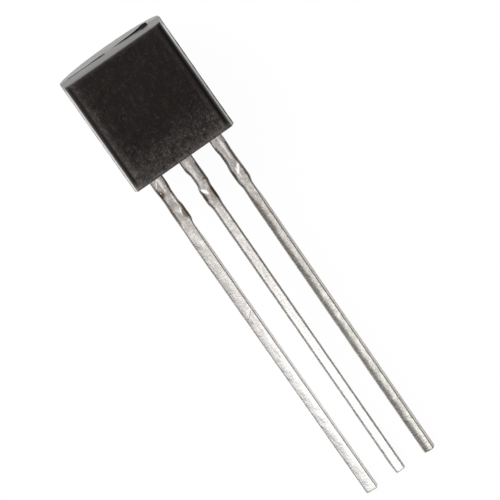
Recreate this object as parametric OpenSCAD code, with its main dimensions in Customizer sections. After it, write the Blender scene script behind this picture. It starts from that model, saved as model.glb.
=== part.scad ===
// A small plastic transistor with three straight leads, a flat front and a round back.
// It lies on its back, flat side up, as one comes to rest on a table: the lower edge of the round
// back and the ends of the leads touch the table, and the leads slope down to it.
//
// Frame of the whole part: X across the leads with the first lead at -X, Y from the lead ends to the
// top of the body, Z up from the table. The origin is below the middle of the part's box.
//
// Frame of each piece before it is laid down: x across the leads, y from the flat to the round back,
// z up the leads into the body. Its origin is on the middle lead, at the underside of the body.

/* [Body] */
// Width of the body at the plane of the leads
body_w = 4.3; // [4.1:0.05:4.7]
// Height of the body, from its underside to its top
body_h = 4.79; // [4.4:0.01:5.2]
// Depth from the flat front to the plane of the leads
front_depth = 1.25; // [1.1:0.05:1.4]
// Length of the straight sides behind the plane of the leads, before the round back starts
back_straight = 0.1; // [0.05:0.05:0.3]
// Draft of the two front side walls, in degrees
side_draft = 4.6; // [3:0.2:8]
// Draft of the top, in front of the plane of the leads, in degrees
front_top_draft = 2; // [0.5:0.5:6]
// Draft of the underside, in front of the plane of the leads, in degrees
front_under_draft = 8.5; // [4:0.5:10]
// Draft of the top and the underside behind the plane of the leads, in degrees
back_draft = 3.5; // [2:0.5:7]
// Radius of the two long edges of the flat
long_edge_r = 0.17; // [0.05:0.01:0.2]
// Radius of the top and lower edges of the flat
short_edge_r = 0.08; // [0.03:0.01:0.1]

/* [Mould marks] */
// How far the flash stands out along the sides, where the two halves of the mould meet
flash_side = 0.02; // [0.01:0.005:0.03]
// Thickness of the flash
flash_t = 0.03; // [0.02:0.005:0.06]
// Greatest height of the flash along the top
flash_top = 0.05; // [0.03:0.01:0.1]
// Distance from the middle of the body to the stub of the broken gate
gate_x = 1.48; // [1.2:0.02:1.5]
// Width of the gate stub along the top
gate_w = 0.34; // [0.2:0.02:0.4]
// Depth of the gate stub, from front to back
gate_d = 0.24; // [0.2:0.02:0.7]
// Height of the gate stub at its higher, back end
gate_h = 0.09; // [0.06:0.01:0.2]
// Slant of the gate stub's broken top, in degrees
gate_slant = 8; // [0:1:15]
// Distance from the middle of the body to the left end of the flash along the top
flash_x = 1.85; // [1.5:0.05:1.9]
// Diameter of the round mark that the ejector pin leaves on the back
pin_mark_d = 1.5; // [1.2:0.05:1.6]
// Depth of the pin mark at its middle
pin_mark_depth = 0.17; // [0.15:0.01:0.25]

/* [Leads] */
// Length of the leads below the body
lead_length = 14.09; // [12.7:0.01:15]
// Distance between neighbouring leads
lead_pitch = 1.29; // [1.2:0.01:1.32]
// How far each lead stands to the right of its place on the pitch, first lead first
lead_shift = [-0.005, 0, 0.025]; // [-0.05:0.005:0.05]
// Thickness of the bare lead
lead_t = 0.38; // [0.34:0.01:0.42]
// Width of the bare lead where it leaves the body
lead_bare_w = 0.44; // [0.38:0.01:0.48]
// Thickness of the tin on the lead
tin_t = 0.012; // [0.008:0.001:0.02]
// Width of each tinned lead along its shaft, first lead first
shaft_w = [0.465, 0.425, 0.415]; // [0.4:0.005:0.55]
// Radius of the tinned shaft's long edges
shaft_r = 0.06; // [0.04:0.01:0.15]
// Radius of the long edges from the body to the stub of the cut tie bar
head_r = 0.09; // [0.05:0.01:0.1]
// Width of each shoulder below the body, first lead first
shoulder_w = [0.56, 0.55, 0.54]; // [0.52:0.005:0.64]
// Length of the shoulder
shoulder_l = 0.38; // [0.3:0.02:0.8]
// Width of each neck between the shoulder and the tie bar stub
neck_w = [0.475, 0.475, 0.47]; // [0.46:0.005:0.54]
// Length of the neck
neck_l = 0.34; // [0.3:0.02:0.7]
// How far each neck stands to the right of its shoulder
neck_shift = [0.012, 0.04, 0.02]; // [0:0.002:0.05]
// Width of each tie bar stub, where the bar between the leads was cut off
stub_w = [0.56, 0.515, 0.54]; // [0.48:0.005:0.64]
// How far each tie bar stub stands to the right of its shoulder
stub_shift = [0.01, -0.022, 0]; // [-0.03:0.002:0.03]
// Length of the tie bar stub
stub_l = 0.46; // [0.3:0.02:1]
// Length over which one width turns into the next
step_l = 0.32; // [0.05:0.01:0.4]
// How far each shaft starts to the right of its shoulder
shaft_shift = [-0.015, -0.005, 0]; // [-0.03:0.005:0.03]
// Twist of each lead below the stub, in degrees, first lead first
lead_twist = [13, 1, 16]; // [0:1:18]
// Length over which a lead twists
twist_l = 2; // [1:0.1:3]
// How far each lead's end leans to the right, first lead first
lead_lean = [-0.045, -0.085, -0.095]; // [-0.1:0.005:0.1]
// Radius of the edges at the cut ends
tip_r = 0.06; // [0.03:0.01:0.07]

/* [Lead frame inside the body] */
// Plastic between the lead frame and the side walls
side_cover = 0.5; // [0.42:0.02:0.56]
// Plastic above the lead frame
top_cover = 1.25; // [1:0.05:1.5]
// Gap between neighbouring pieces of the lead frame
frame_gap = 0.3; // [0.24:0.02:0.34]
// Height of the paddle that carries the chip
paddle_h = 1.8; // [1.6:0.05:1.9]
// Radius of the lead frame's corners
frame_r = 0.12; // [0.08:0.01:0.14]
// Width of the first lead's bond post
post_w = 0.8; // [0.72:0.02:0.84]
// Height of the first lead's bond post
post_h = 1.3; // [1.1:0.05:1.5]
// Width of the middle lead's bond head
head_w = 0.9; // [0.7:0.05:1]
// Height of the middle lead's bond head
head_h = 0.5; // [0.42:0.02:0.54]
// Diameter of the anchor holes in the post and the paddle, which the plastic fills
anchor_d = 0.26; // [0.2:0.02:0.3]

/* [Chip and bond wires] */
// Side of the square chip
die_w = 0.5; // [0.4:0.02:0.6]
// Thickness of the chip
die_t = 0.2; // [0.15:0.01:0.25]
// Thickness of the solder under the chip
attach_t = 0.03; // [0.02:0.005:0.04]
// How far the solder shows around the chip
attach_margin = 0.04; // [0.02:0.01:0.06]
// Side of a bond pad
pad_w = 0.13; // [0.11:0.01:0.15]
// Height of a bond pad
pad_t = 0.01; // [0.006:0.002:0.014]
// Diameter of the bond wires
wire_d = 0.03; // [0.025:0.005:0.04]
// Height of the wires' arch above the chip
wire_rise = 0.3; // [0.2:0.02:0.4]
// Diameter of the ball at the chip end of a wire
ball_d = 0.09; // [0.07:0.01:0.1]
// Thickness of the ball
ball_t = 0.03; // [0.02:0.005:0.04]

/* [Hidden] */

// Steps round a small corner, a bend and a wire, and sides of the smooth rounds
CORNER_STEPS = 4;
STEP_RINGS = 6;
TWIST_RINGS = 6;
WIRE_SIDES = 8;
WIRE_RINGS = 16;
ROUND_FN = 96;
EDGE_FN = 32;
BOND_FN = 12;
// Margin by which a cutting or crossing shape passes what it cuts
over = 1;

// Sizes of the body that follow from those above
half_w = body_w / 2;
back_y = back_straight + half_w;
flat_half_w = half_w - front_depth * tan(side_draft);
front_top_z = body_h - front_depth * tan(front_top_draft);
front_under_z = front_depth * tan(front_under_draft);
back_rise = back_y * tan(back_draft);

// Places along a lead, as distances below the body
neck_start = shoulder_l + step_l;
neck_end = neck_start + neck_l;
stub_start = neck_end + step_l;
stub_end = stub_start + stub_l;
shaft_start = stub_end + step_l;
twist_end = shaft_start + twist_l;
lead_root = 0.3;
half_t = lead_t / 2;
tinned_half_t = half_t + tin_t;

// Places inside the body
paddle_z1 = body_h - top_cover;
paddle_z0 = paddle_z1 - paddle_h;
frame_x = half_w - side_cover;
post_x1 = -frame_x + post_w;
paddle_x0 = post_x1 + frame_gap;
post_z0 = paddle_z1 - post_h;
head_z1 = paddle_z0 - frame_gap;
head_z0 = head_z1 - head_h;
attach_y = -half_t - attach_t;
die_y = attach_y - die_t;
pad_y = die_y - pad_t;
die_x = (paddle_x0 + lead_pitch) / 2;
die_z = (paddle_z0 + paddle_z1) / 2;
pad_offset = die_w / 4;
emitter_pad = [die_x - pad_offset, die_z + pad_offset];
base_pad = [die_x - pad_offset, die_z - pad_offset];
emitter_bond = [post_x1 - post_w / 4, die_z];
base_bond = [head_w / 4, (head_z0 + head_z1) / 2];

// Rest on the table: the table touches the lower edge of the round back and the rounded lead ends
function reach_back(i) =
    let (a = shaft_w[i] / 2 - shaft_r, b = tinned_half_t - shaft_r)
    b * cos(lead_twist[i]) + a * sin(lead_twist[i]) + shaft_r;
tip_reach = max([for (i = [0:2]) reach_back(i)]);
rest_dy = back_y - (tip_reach - tip_r);
rest_dz = back_rise + lead_length - tip_r;
rest_tilt = acos(tip_r / norm([rest_dy, rest_dz])) - atan2(rest_dz, rest_dy);

// Height and length of a point of a piece once the part lies on the table
function laid_height(y, z) = z * sin(rest_tilt) - y * cos(rest_tilt);
function laid_length(y, z) = z * cos(rest_tilt) + y * sin(rest_tilt);
table_z = laid_height(back_y, back_rise);
far_y = max(laid_length(back_y, body_h - back_rise), laid_length(gate_d / 2, body_h + gate_h));
near_y = laid_length(tip_r - tip_reach, tip_r - lead_length) - tip_r;

// Lays a piece down in its place on the table
module laid_down() {
    translate([0, -(far_y + near_y) / 2, -table_z])
        rotate([rest_tilt - 90, 0, 0])
            children();
}

// Extrudes an outline drawn across the leads and up them, to both sides of the plane of the leads
module in_lead_plane(thickness) {
    rotate([90, 0, 0])
        linear_extrude(thickness, center = true)
            children();
}

// The part of a corner that its round takes away. The corner is at the origin and opens towards
// the angles first and first + opening.
module corner_waste(first, opening, r) {
    reach = r / tan(opening / 2);
    middle = first + opening / 2;
    centre = r / sin(opening / 2) * [cos(middle), sin(middle)];
    difference() {
        polygon([
            -0.1 * r * [cos(middle), sin(middle)],
            reach * [cos(first), sin(first)],
            centre,
            reach * [cos(first + opening), sin(first + opening)]
        ]);
        translate(centre) circle(r, $fn = EDGE_FN);
    }
}

// Outline of the body seen from above: a flat front with drafted sides and a round back
module plan_outline() {
    difference() {
        union() {
            polygon([
                [-flat_half_w, -front_depth], [flat_half_w, -front_depth],
                [half_w, 0], [half_w, back_straight],
                [-half_w, back_straight], [-half_w, 0]
            ]);
            translate([0, back_straight]) circle(half_w, $fn = ROUND_FN);
        }
        translate([-flat_half_w, -front_depth]) corner_waste(0, 90 + side_draft, long_edge_r);
        translate([flat_half_w, -front_depth]) corner_waste(90 - side_draft, 90 + side_draft, long_edge_r);
    }
}

// Outline of the body seen from the side, with the draft of its top and underside
module side_outline() {
    difference() {
        polygon([
            [-front_depth, front_under_z], [0, 0], [back_y + over, (back_y + over) * tan(back_draft)],
            [back_y + over, body_h - (back_y + over) * tan(back_draft)], [0, body_h],
            [-front_depth, front_top_z]
        ]);
        translate([-front_depth, front_under_z])
            corner_waste(-front_under_draft, 90 + front_under_draft, short_edge_r);
        translate([-front_depth, front_top_z])
            corner_waste(-90, 90 + front_top_draft, short_edge_r);
    }
}

// The moulded block before the marks of the mould
module body_block() {
    intersection() {
        translate([0, 0, -over])
            linear_extrude(body_h + 2 * over)
                plan_outline();
        rotate([90, 0, 90])
            linear_extrude(body_w + 2 * over, center = true)
                side_outline();
    }
}

// The thin flash where the halves of the mould met, broken off in places along the top
module parting_flash() {
    low = flash_top / 2;
    in_lead_plane(flash_t) {
        for (x = [-half_w - flash_side, half_w - flash_t])
            translate([x, flash_t]) square([flash_side + flash_t, body_h - 2 * flash_t]);
        polygon([
            [-flash_x, body_h - low], [-flash_x, body_h], [-0.9 * flash_x, body_h + low / 2],
            [-0.6 * flash_x, body_h + low / 2], [-0.35 * flash_x, body_h + low],
            [-0.15 * flash_x, body_h + low], [-0.1 * flash_x, body_h], [-0.1 * flash_x, body_h - low]
        ]);
        polygon([
            [0.05 * flash_x, body_h - low], [0.05 * flash_x, body_h], [0.25 * flash_x, body_h + low],
            [gate_x - gate_w, body_h + flash_top], [gate_x, body_h + flash_top], [gate_x, body_h - low]
        ]);
    }
}

// The stub that stays where the plastic came into the mould, broken off at a slant
module gate_stub() {
    difference() {
        translate([0, 0, body_h - gate_h])
            linear_extrude(2 * gate_h)
                rounded_plate(
                    [gate_x - gate_w / 2, -gate_d / 2], [gate_x + gate_w / 2, gate_d / 2], gate_w / 3
                );
        translate([gate_x - gate_w, gate_d / 2, body_h + gate_h])
            rotate([180 + gate_slant, 0, 0])
                translate([0, -over, -over])
                    cube([2 * gate_w, gate_d + 2 * over, over]);
    }
}

// The round mark that the ejector pin leaves on the back
module pin_mark() {
    translate([0, back_y - pin_mark_depth, body_h / 2])
        rotate([-90, 0, 0])
            cylinder(pin_mark_depth + over, d = pin_mark_d, $fn = ROUND_FN);
}

// A rectangle with round corners, from its lower left and upper right corners
module rounded_plate(low, high, r) {
    translate(low + [r, 0]) square([high.x - low.x - 2 * r, high.y - low.y]);
    translate(low + [0, r]) square([high.x - low.x, high.y - low.y - 2 * r]);
    for (x = [low.x + r, high.x - r], y = [low.y + r, high.y - r])
        translate([x, y]) circle(r, $fn = EDGE_FN);
}

// Where a lead leaves the body
function lead_x(i) = (i - 1) * lead_pitch + lead_shift[i];

// The straight strip of a lead, from inside the tinned part up to a height in the body
module lead_strip(x, top) {
    translate([x - lead_bare_w / 2, -lead_root])
        square([lead_bare_w, top + lead_root]);
}

// The stamped end of each lead inside the body
module emitter_frame() {
    in_lead_plane(lead_t)
        difference() {
            union() {
                lead_strip(lead_x(0), post_z0 + frame_r);
                rounded_plate([-frame_x, post_z0], [post_x1, paddle_z1], frame_r);
            }
            translate([(post_x1 - frame_x) / 2, paddle_z1 - anchor_d]) circle(d = anchor_d, $fn = EDGE_FN);
        }
}

module base_frame() {
    in_lead_plane(lead_t) {
        lead_strip(lead_x(1), head_z0 + frame_r);
        rounded_plate([-head_w / 2, head_z0], [head_w / 2, head_z1], frame_r);
    }
}

module collector_frame() {
    in_lead_plane(lead_t)
        difference() {
            union() {
                lead_strip(lead_x(2), paddle_z0 + frame_r);
                rounded_plate([paddle_x0, paddle_z0], [frame_x, paddle_z1], frame_r);
            }
            for (z = [paddle_z0 + anchor_d, paddle_z1 - anchor_d])
                translate([frame_x - anchor_d, z]) circle(d = anchor_d, $fn = EDGE_FN);
        }
}

// A smooth step from 0 to 1 as d goes from d0 to d1
function ease(d, d0, d1) =
    let (t = max(0, min(1, (d - d0) / (d1 - d0))))
    t * t * (3 - 2 * t);

// Width, place and edge radius of a tinned lead at a distance d below the body
function along_lead(d, shoulder, neck, stub, shaft) =
    shoulder + (neck - shoulder) * ease(d, shoulder_l, neck_start)
    + (stub - neck) * ease(d, neck_end, stub_start)
    + (shaft - stub) * ease(d, stub_end, shaft_start);
function lead_width(i, d) = along_lead(d, shoulder_w[i], neck_w[i], stub_w[i], shaft_w[i]);
function lead_offset(i, d) =
    along_lead(d, 0, neck_shift[i], stub_shift[i], shaft_shift[i])
    + (lead_lean[i] - shaft_shift[i]) * max(0, d - stub_end) / (lead_length - stub_end);
function lead_edge_r(d) = along_lead(d, head_r, head_r, head_r, shaft_r);

// Points round a rectangle with round corners, counter-clockwise
function rounded_ring(a, b, r) = [
    for (corner = [0:3], i = [0:CORNER_STEPS])
        let (
            angle = 90 * (corner + i / CORNER_STEPS),
            x = (corner == 0 || corner == 3 ? 1 : -1) * (a - r),
            y = (corner < 2 ? 1 : -1) * (b - r)
        )
        [x + r * cos(angle), y + r * sin(angle)]
];

// One ring of a lead: shrink is how much the round of the cut end takes off all round
function lead_ring(i, d, shrink) =
    let (
        turn = -lead_twist[i] * ease(d, shaft_start, twist_end),
        x = lead_x(i) + lead_offset(i, d),
        ring = rounded_ring(
            lead_width(i, d) / 2 - shrink, tinned_half_t - shrink, lead_edge_r(d) - shrink
        )
    )
    [for (p = ring) [x + p.x * cos(turn) - p.y * sin(turn), p.x * sin(turn) + p.y * cos(turn), -d]];

// Distances below the body at which a lead has a ring, from the cut end up
function steps(d0, d1, n) = [for (i = [1:n]) d0 + (d1 - d0) * i / n];
lead_depths = concat(
    [twist_end],
    steps(twist_end, shaft_start, TWIST_RINGS),
    steps(shaft_start, stub_end, STEP_RINGS),
    [stub_start],
    steps(stub_start, neck_end, STEP_RINGS),
    [neck_start],
    steps(neck_start, shoulder_l, STEP_RINGS),
    [0]
);

// Faces of a solid that joins rings of n points, the first ring at its lower end
function loft_faces(rings, n) = concat(
    [[for (i = [0:n - 1]) i]],
    [
        for (k = [0:rings - 2], i = [0:n - 1])
            let (j = (i + 1) % n)
            each [
                [k * n + i, (k + 1) * n + i, (k + 1) * n + j],
                [k * n + i, (k + 1) * n + j, k * n + j]
            ]
    ],
    [[for (i = [n - 1:-1:0]) (rings - 1) * n + i]]
);

// The tinned part of a lead, outside the body
module tinned_lead(i) {
    tip_rings = [
        for (k = [0:CORNER_STEPS])
            let (angle = 90 * (1 - k / CORNER_STEPS))
            lead_ring(i, lead_length - tip_r * (1 - sin(angle)), tip_r * (1 - cos(angle)))
    ];
    rings = concat(tip_rings, [for (d = lead_depths) lead_ring(i, d, 0)]);
    points = [for (ring = rings, p = ring) p];
    polyhedron(points, loft_faces(len(rings), len(rings[0])), convexity = 4);
}

// The chip with its two bond pads, on the front of the paddle
module chip() {
    translate([die_x - die_w / 2, die_y, die_z - die_w / 2])
        cube([die_w, die_t, die_w]);
    for (pad = [emitter_pad, base_pad])
        translate([pad.x - pad_w / 2, pad_y, pad.y - pad_w / 2])
            cube([pad_w, pad_t, pad_w]);
}

// The solder between the chip and the paddle
module chip_solder() {
    side = die_w + 2 * attach_margin;
    translate([die_x - side / 2, attach_y, die_z - side / 2])
        cube([side, attach_t, side]);
}

// A vector of length 1
function unit(v) = v / norm(v);

// Point on the arch of a bond wire, a cubic curve from the ball to the lead frame
function wire_point(from, to, t) =
    let (
        start = [from.x, pad_y - ball_t / 2, from.y],
        end = [to.x, -half_t - wire_d / 2, to.y],
        rise = [0, -wire_rise * 4 / 3, 0]
    )
    pow(1 - t, 3) * start + 3 * pow(1 - t, 2) * t * (start + rise)
    + 3 * (1 - t) * t * t * (end + rise) + pow(t, 3) * end;

// A bond wire with its ball on the chip and its flattened end on the lead frame
module bond_wire(from, to) {
    across = unit([to.y - from.y, 0, from.x - to.x]);
    rings = [
        for (k = [0:WIRE_RINGS])
            let (
                t = k / WIRE_RINGS,
                p = wire_point(from, to, t),
                along = unit(wire_point(from, to, min(1, t + 0.01)) - wire_point(from, to, max(0, t - 0.01))),
                normal = cross(along, across)
            )
            [
                for (i = [0:WIRE_SIDES - 1])
                    let (angle = 360 * i / WIRE_SIDES)
                    p + wire_d / 2 * (cos(angle) * across + sin(angle) * normal)
            ]
    ];
    polyhedron([for (ring = rings, p = ring) p], loft_faces(len(rings), WIRE_SIDES), convexity = 4);
    translate([from.x, pad_y, from.y])
        rotate([90, 0, 0])
            cylinder(ball_t, d = ball_d, $fn = BOND_FN);
    translate([to.x, -half_t, to.y])
        rotate([90, 0, 0])
            cylinder(wire_d, d = ball_d, $fn = BOND_FN);
}

// Everything that the plastic is moulded round
module moulded_in() {
    emitter_frame();
    base_frame();
    collector_frame();
    chip();
    chip_solder();
    bond_wire(emitter_pad, emitter_bond);
    bond_wire(base_pad, base_bond);
}

module case() {
    color("#2b2927")
        laid_down()
            difference() {
                union() {
                    body_block();
                    parting_flash();
                    gate_stub();
                }
                pin_mark();
                moulded_in();
            }
}

module emitter_lead() {
    color("#c6c4bd")
        laid_down() {
            emitter_frame();
            tinned_lead(0);
        }
}

module base_lead() {
    color("#c6c4bd")
        laid_down() {
            base_frame();
            tinned_lead(1);
        }
}

module collector_lead() {
    color("#c6c4bd")
        laid_down() {
            collector_frame();
            tinned_lead(2);
        }
}

module die() {
    color("#6f747b") laid_down() chip();
}

module die_attach() {
    color("#a9a9a2") laid_down() chip_solder();
}

module emitter_bond_wire() {
    color("#d9b44a") laid_down() bond_wire(emitter_pad, emitter_bond);
}

module base_bond_wire() {
    color("#d9b44a") laid_down() bond_wire(base_pad, base_bond);
}

case();
emitter_lead();
base_lead();
collector_lead();
die();
die_attach();
emitter_bond_wire();
base_bond_wire();
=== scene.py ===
"""A small plastic transistor with a flat front, a round back and three tinned leads.

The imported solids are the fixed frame. The moulded body and the leads are built again here from the same
sizes, with finer surfaces, and every piece gets a procedural finish. Sizes are in millimetres in the frame
of the upright package: x across the leads, y from the flat to the round back, z up the leads into the body,
with the origin on the middle lead at the underside. A finished mesh is laid down and turned to metres.
"""

import logging
import math
from collections.abc import Iterable, Sequence
from dataclasses import dataclass, field
from enum import Enum
from functools import partial, reduce

import bmesh
import bpy
import numpy as np
from mathutils import Matrix, Vector


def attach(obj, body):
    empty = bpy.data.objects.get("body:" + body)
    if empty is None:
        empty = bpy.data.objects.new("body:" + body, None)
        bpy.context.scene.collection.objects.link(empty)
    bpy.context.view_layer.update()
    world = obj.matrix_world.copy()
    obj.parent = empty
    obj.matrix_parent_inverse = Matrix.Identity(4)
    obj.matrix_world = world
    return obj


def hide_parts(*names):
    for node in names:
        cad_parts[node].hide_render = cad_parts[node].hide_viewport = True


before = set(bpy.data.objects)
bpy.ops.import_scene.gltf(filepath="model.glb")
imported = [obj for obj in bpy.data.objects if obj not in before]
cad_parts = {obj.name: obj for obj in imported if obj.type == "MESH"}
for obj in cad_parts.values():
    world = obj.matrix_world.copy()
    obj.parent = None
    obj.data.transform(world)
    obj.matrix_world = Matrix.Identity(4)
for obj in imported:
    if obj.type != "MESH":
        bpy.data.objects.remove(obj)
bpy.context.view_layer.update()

LOG = logging.getLogger("transistor")
MM = 0.001
BODY = "root"

Socket = bpy.types.NodeSocket
Colour = tuple[float, float, float]
Input = float | int | tuple[float, ...] | Socket
Point = tuple[float, float, float]
Pair = tuple[float, float]
Fade = tuple[float, ...]


class TreeKind(Enum):
    """The two kinds of node tree that the script builds."""

    SHADER = "ShaderNodeTree"
    GEOMETRY = "GeometryNodeTree"


class SocketKind(Enum):
    """The kinds of socket that a node group shows."""

    FLOAT = "NodeSocketFloat"
    INTEGER = "NodeSocketInt"
    VECTOR = "NodeSocketVector"
    GEOMETRY = "NodeSocketGeometry"
    MATERIAL = "NodeSocketMaterial"


class Slot(Enum):
    """The record's material slots of the pieces that are built again here."""

    MOULDING = "moulding"
    TINNED_LEAD = "tinned_lead"


class SpotTone(Enum):
    """The tones of the spots on the tin: stains, scratches, painted highlights and painted shade."""

    RUST = (0.11, 0.078, 0.062)
    OLIVE = (0.16, 0.14, 0.1)
    GREY = (0.3, 0.285, 0.29)
    # Scratches and small marks, and painted shade along the heads' edges.
    DARK = (0.15, 0.14, 0.14)
    # Painted highlights: the glints of the tin's waves and dents.
    PAINTED_GLINT = (0.97, 0.96, 0.955)


class Graph:
    """Adds nodes to one node tree and joins them by their sockets."""

    def __init__(self, tree: bpy.types.NodeTree) -> None:
        """Keeps the tree that the nodes go into."""
        self.tree = tree

    def feed(self, socket: Socket, value: Input) -> None:
        """Sets a socket to a value, or links another socket to it.

        Args:
            socket: The input to feed.
            value: A value, or the output to link to it.
        """
        if isinstance(value, bpy.types.NodeSocket):
            self.tree.links.new(value, socket)
        else:
            socket.default_value = value

    def add(
        self, kind: str, feeds: dict[str | int, Input] | None = None, **settings: object
    ) -> bpy.types.Node:
        """Adds a node.

        Args:
            kind: The node's type name.
            feeds: What goes into its inputs, by their names or numbers.
            settings: Properties of the node, set before its inputs.

        Returns:
            The new node.
        """
        node = self.tree.nodes.new(kind)
        for name, value in settings.items():
            setattr(node, name, value)
        for key, value in (feeds or {}).items():
            self.feed(node.inputs[key], value)
        return node

    def maths(self, operation: str, *values: Input) -> Socket:
        """Adds one step of arithmetic on the values and returns its result."""
        return self.add("ShaderNodeMath", dict(enumerate(values)), operation=operation).outputs[0]

    def plus(self, *values: Input) -> Socket:
        """Adds values up."""
        return reduce(partial(self.maths, "ADD"), values)

    def minus(self, first: Input, second: Input) -> Socket:
        """Takes the second value from the first."""
        return self.maths("SUBTRACT", first, second)

    def times(self, *values: Input) -> Socket:
        """Multiplies values."""
        return reduce(partial(self.maths, "MULTIPLY"), values)

    def vector(self, operation: str, *values: Input, result: str = "Vector") -> Socket:
        """Adds one step of vector arithmetic and returns the output that is named as the result."""
        node = self.add("ShaderNodeVectorMath", dict(enumerate(values)), operation=operation)
        return node.outputs[result]

    def scale(self, vector: Input, factor: Input) -> Socket:
        """Multiplies a vector by a number."""
        return self.add("ShaderNodeVectorMath", {0: vector, "Scale": factor}, operation="SCALE").outputs[0]

    def ramp(
        self, value: Input, start: Input, end: Input, low: Input = 0.0, high: Input = 1.0, smooth: bool = True
    ) -> Socket:
        """Maps a value from the range start to end onto low to high, held at both ends.

        Args:
            value: The value to map.
            start: Value that gives low.
            end: Value that gives high.
            low: Result at the start.
            high: Result at the end.
            smooth: True for a smooth step, False for a straight one.

        Returns:
            The mapped value.
        """
        node = self.add(
            "ShaderNodeMapRange",
            {"Value": value, "From Min": start, "From Max": end, "To Min": low, "To Max": high},
            interpolation_type="SMOOTHSTEP" if smooth else "LINEAR",
            clamp=True,
        )
        return node.outputs["Result"]

    def mix(self, factor: Input, low: Input, high: Input) -> Socket:
        """Mixes two values: a factor of 0 gives the low one, 1 the high one."""
        return self.add("ShaderNodeMix", {0: factor, 2: low, 3: high}, data_type="FLOAT").outputs[0]

    def tint(self, factor: Input, first: Input, second: Input) -> Socket:
        """Mixes two colours.

        Args:
            factor: 0 for the first colour, 1 for the second.
            first: The first colour.
            second: The second colour.

        Returns:
            The mixed colour.
        """
        node = self.add("ShaderNodeMix", {0: factor}, data_type="RGBA")
        for socket, value in zip(node.inputs[6:8], (first, second)):
            self.feed(socket, (*value, 1.0) if isinstance(value, tuple) else value)
        return node.outputs[2]

    def split(self, vector: Socket) -> tuple[Socket, Socket, Socket]:
        """Takes a vector apart."""
        return tuple(self.add("ShaderNodeSeparateXYZ", {0: vector}).outputs)

    def join(self, x: Input, y: Input, z: Input = 0.0) -> Socket:
        """Puts a vector together."""
        return self.add("ShaderNodeCombineXYZ", {0: x, 1: y, 2: z}).outputs[0]

    def noise(self, vector: Input, scale: Input, detail: float = 2.0, roughness: float = 0.5) -> Socket:
        """Adds a noise texture with values between 0 and 1, with so many grains per unit of length."""
        feeds = {"Vector": vector, "Scale": scale, "Detail": detail, "Roughness": roughness}
        return self.add("ShaderNodeTexNoise", feeds).outputs[0]


@dataclass(frozen=True)
class Port:
    """One named input or output of a node group."""

    name: str
    kind: SocketKind = SocketKind.FLOAT


def numbers(*names: str) -> list[Port]:
    """Lists ports for plain numbers."""
    return [Port(name) for name in names]


def new_group(
    name: str, kind: TreeKind, inputs: Sequence[Port], outputs: Sequence[Port]
) -> tuple[Graph, dict[str, Socket], dict[str, Socket]]:
    """Makes a node group with its sockets.

    Args:
        name: Name of the group.
        kind: Shader or geometry.
        inputs: The group's inputs.
        outputs: The group's outputs.

    Returns:
        The graph of the group, its inputs as sockets by name, and the sockets to feed its outputs.
    """
    tree = bpy.data.node_groups.new(name, kind.value)
    for ports, side in ((inputs, "INPUT"), (outputs, "OUTPUT")):
        for port in ports:
            tree.interface.new_socket(port.name, in_out=side, socket_type=port.kind.value)
    graph = Graph(tree)
    source = graph.add("NodeGroupInput")
    sink = graph.add("NodeGroupOutput")
    given = {port.name: source.outputs[port.name] for port in inputs}
    made = {port.name: sink.inputs[port.name] for port in outputs}
    return graph, given, made


@dataclass(frozen=True)
class Resting:
    """How the upright package lies down: on the back's edge at the underside and on the lead ends.

    The formulas are those of the solids. Distances are in the frame of the upright package.
    """

    back_y: float
    back_rise: float
    body_h: float
    lead_length: float
    tip_r: float
    tip_reach: float
    gate_y: float
    gate_z: float

    def _tilt(self) -> float:
        """Finds the angle of the leads above the table.

        Returns:
            The angle in radians.
        """
        across = self.back_y - (self.tip_reach - self.tip_r)
        along = self.back_rise + self.lead_length - self.tip_r
        return math.acos(self.tip_r / math.hypot(across, along)) - math.atan2(along, across)

    def matrix(self) -> Matrix:
        """Finds how the package is laid down.

        Returns:
            The turn and the shift, in millimetres.
        """
        turn = Matrix.Rotation(self._tilt() - math.pi / 2, 4, "X")
        table = (turn @ Vector((0, self.back_y, self.back_rise))).z
        far = max(
            (turn @ Vector((0, self.back_y, self.body_h - self.back_rise))).y,
            (turn @ Vector((0, self.gate_y, self.gate_z))).y,
        )
        near = (turn @ Vector((0, self.tip_r - self.tip_reach, self.tip_r - self.lead_length))).y - self.tip_r
        return Matrix.Translation((0, -(far + near) / 2, -table)) @ turn


def loft(rings: Sequence[np.ndarray], start: Point, end: Point) -> tuple[list[Point], list[tuple[int, ...]]]:
    """Joins rings of points to a closed surface, with a fan of faces at each end.

    Args:
        rings: Rings with the same number of points, in order.
        start: Point that closes the first ring.
        end: Point that closes the last ring.

    Returns:
        Points and faces.
    """
    count = len(rings[0])
    points = [tuple(map(float, p)) for ring in rings for p in ring]
    faces: list[tuple[int, ...]] = []
    for k in range(len(rings) - 1):
        low, high = k * count, (k + 1) * count
        faces += [(low + i, low + (i + 1) % count, high + (i + 1) % count, high + i) for i in range(count)]
    first, last = len(points), len(points) + 1
    points += [start, end]
    top = (len(rings) - 1) * count
    faces += [((i + 1) % count, i, first) for i in range(count)]
    faces += [(top + i, top + (i + 1) % count, last) for i in range(count)]
    return points, faces


def outward(mesh: bpy.types.Mesh) -> None:
    """Merges a mesh's doubles and turns its faces outwards.

    Args:
        mesh: The mesh to put right.
    """
    work = bmesh.new()
    work.from_mesh(mesh)
    bmesh.ops.remove_doubles(work, verts=work.verts, dist=1e-6)
    bmesh.ops.recalc_face_normals(work, faces=work.faces)
    work.to_mesh(mesh)
    work.free()


def new_object(name: str, mesh: bpy.types.ID) -> bpy.types.Object:
    """Makes an object from a mesh or a curve.

    Args:
        name: Name of the object.
        mesh: The mesh or the curve.

    Returns:
        The new object, linked to the scene.
    """
    made = bpy.data.objects.new(name, mesh)
    bpy.context.scene.collection.objects.link(made)
    return made


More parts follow.
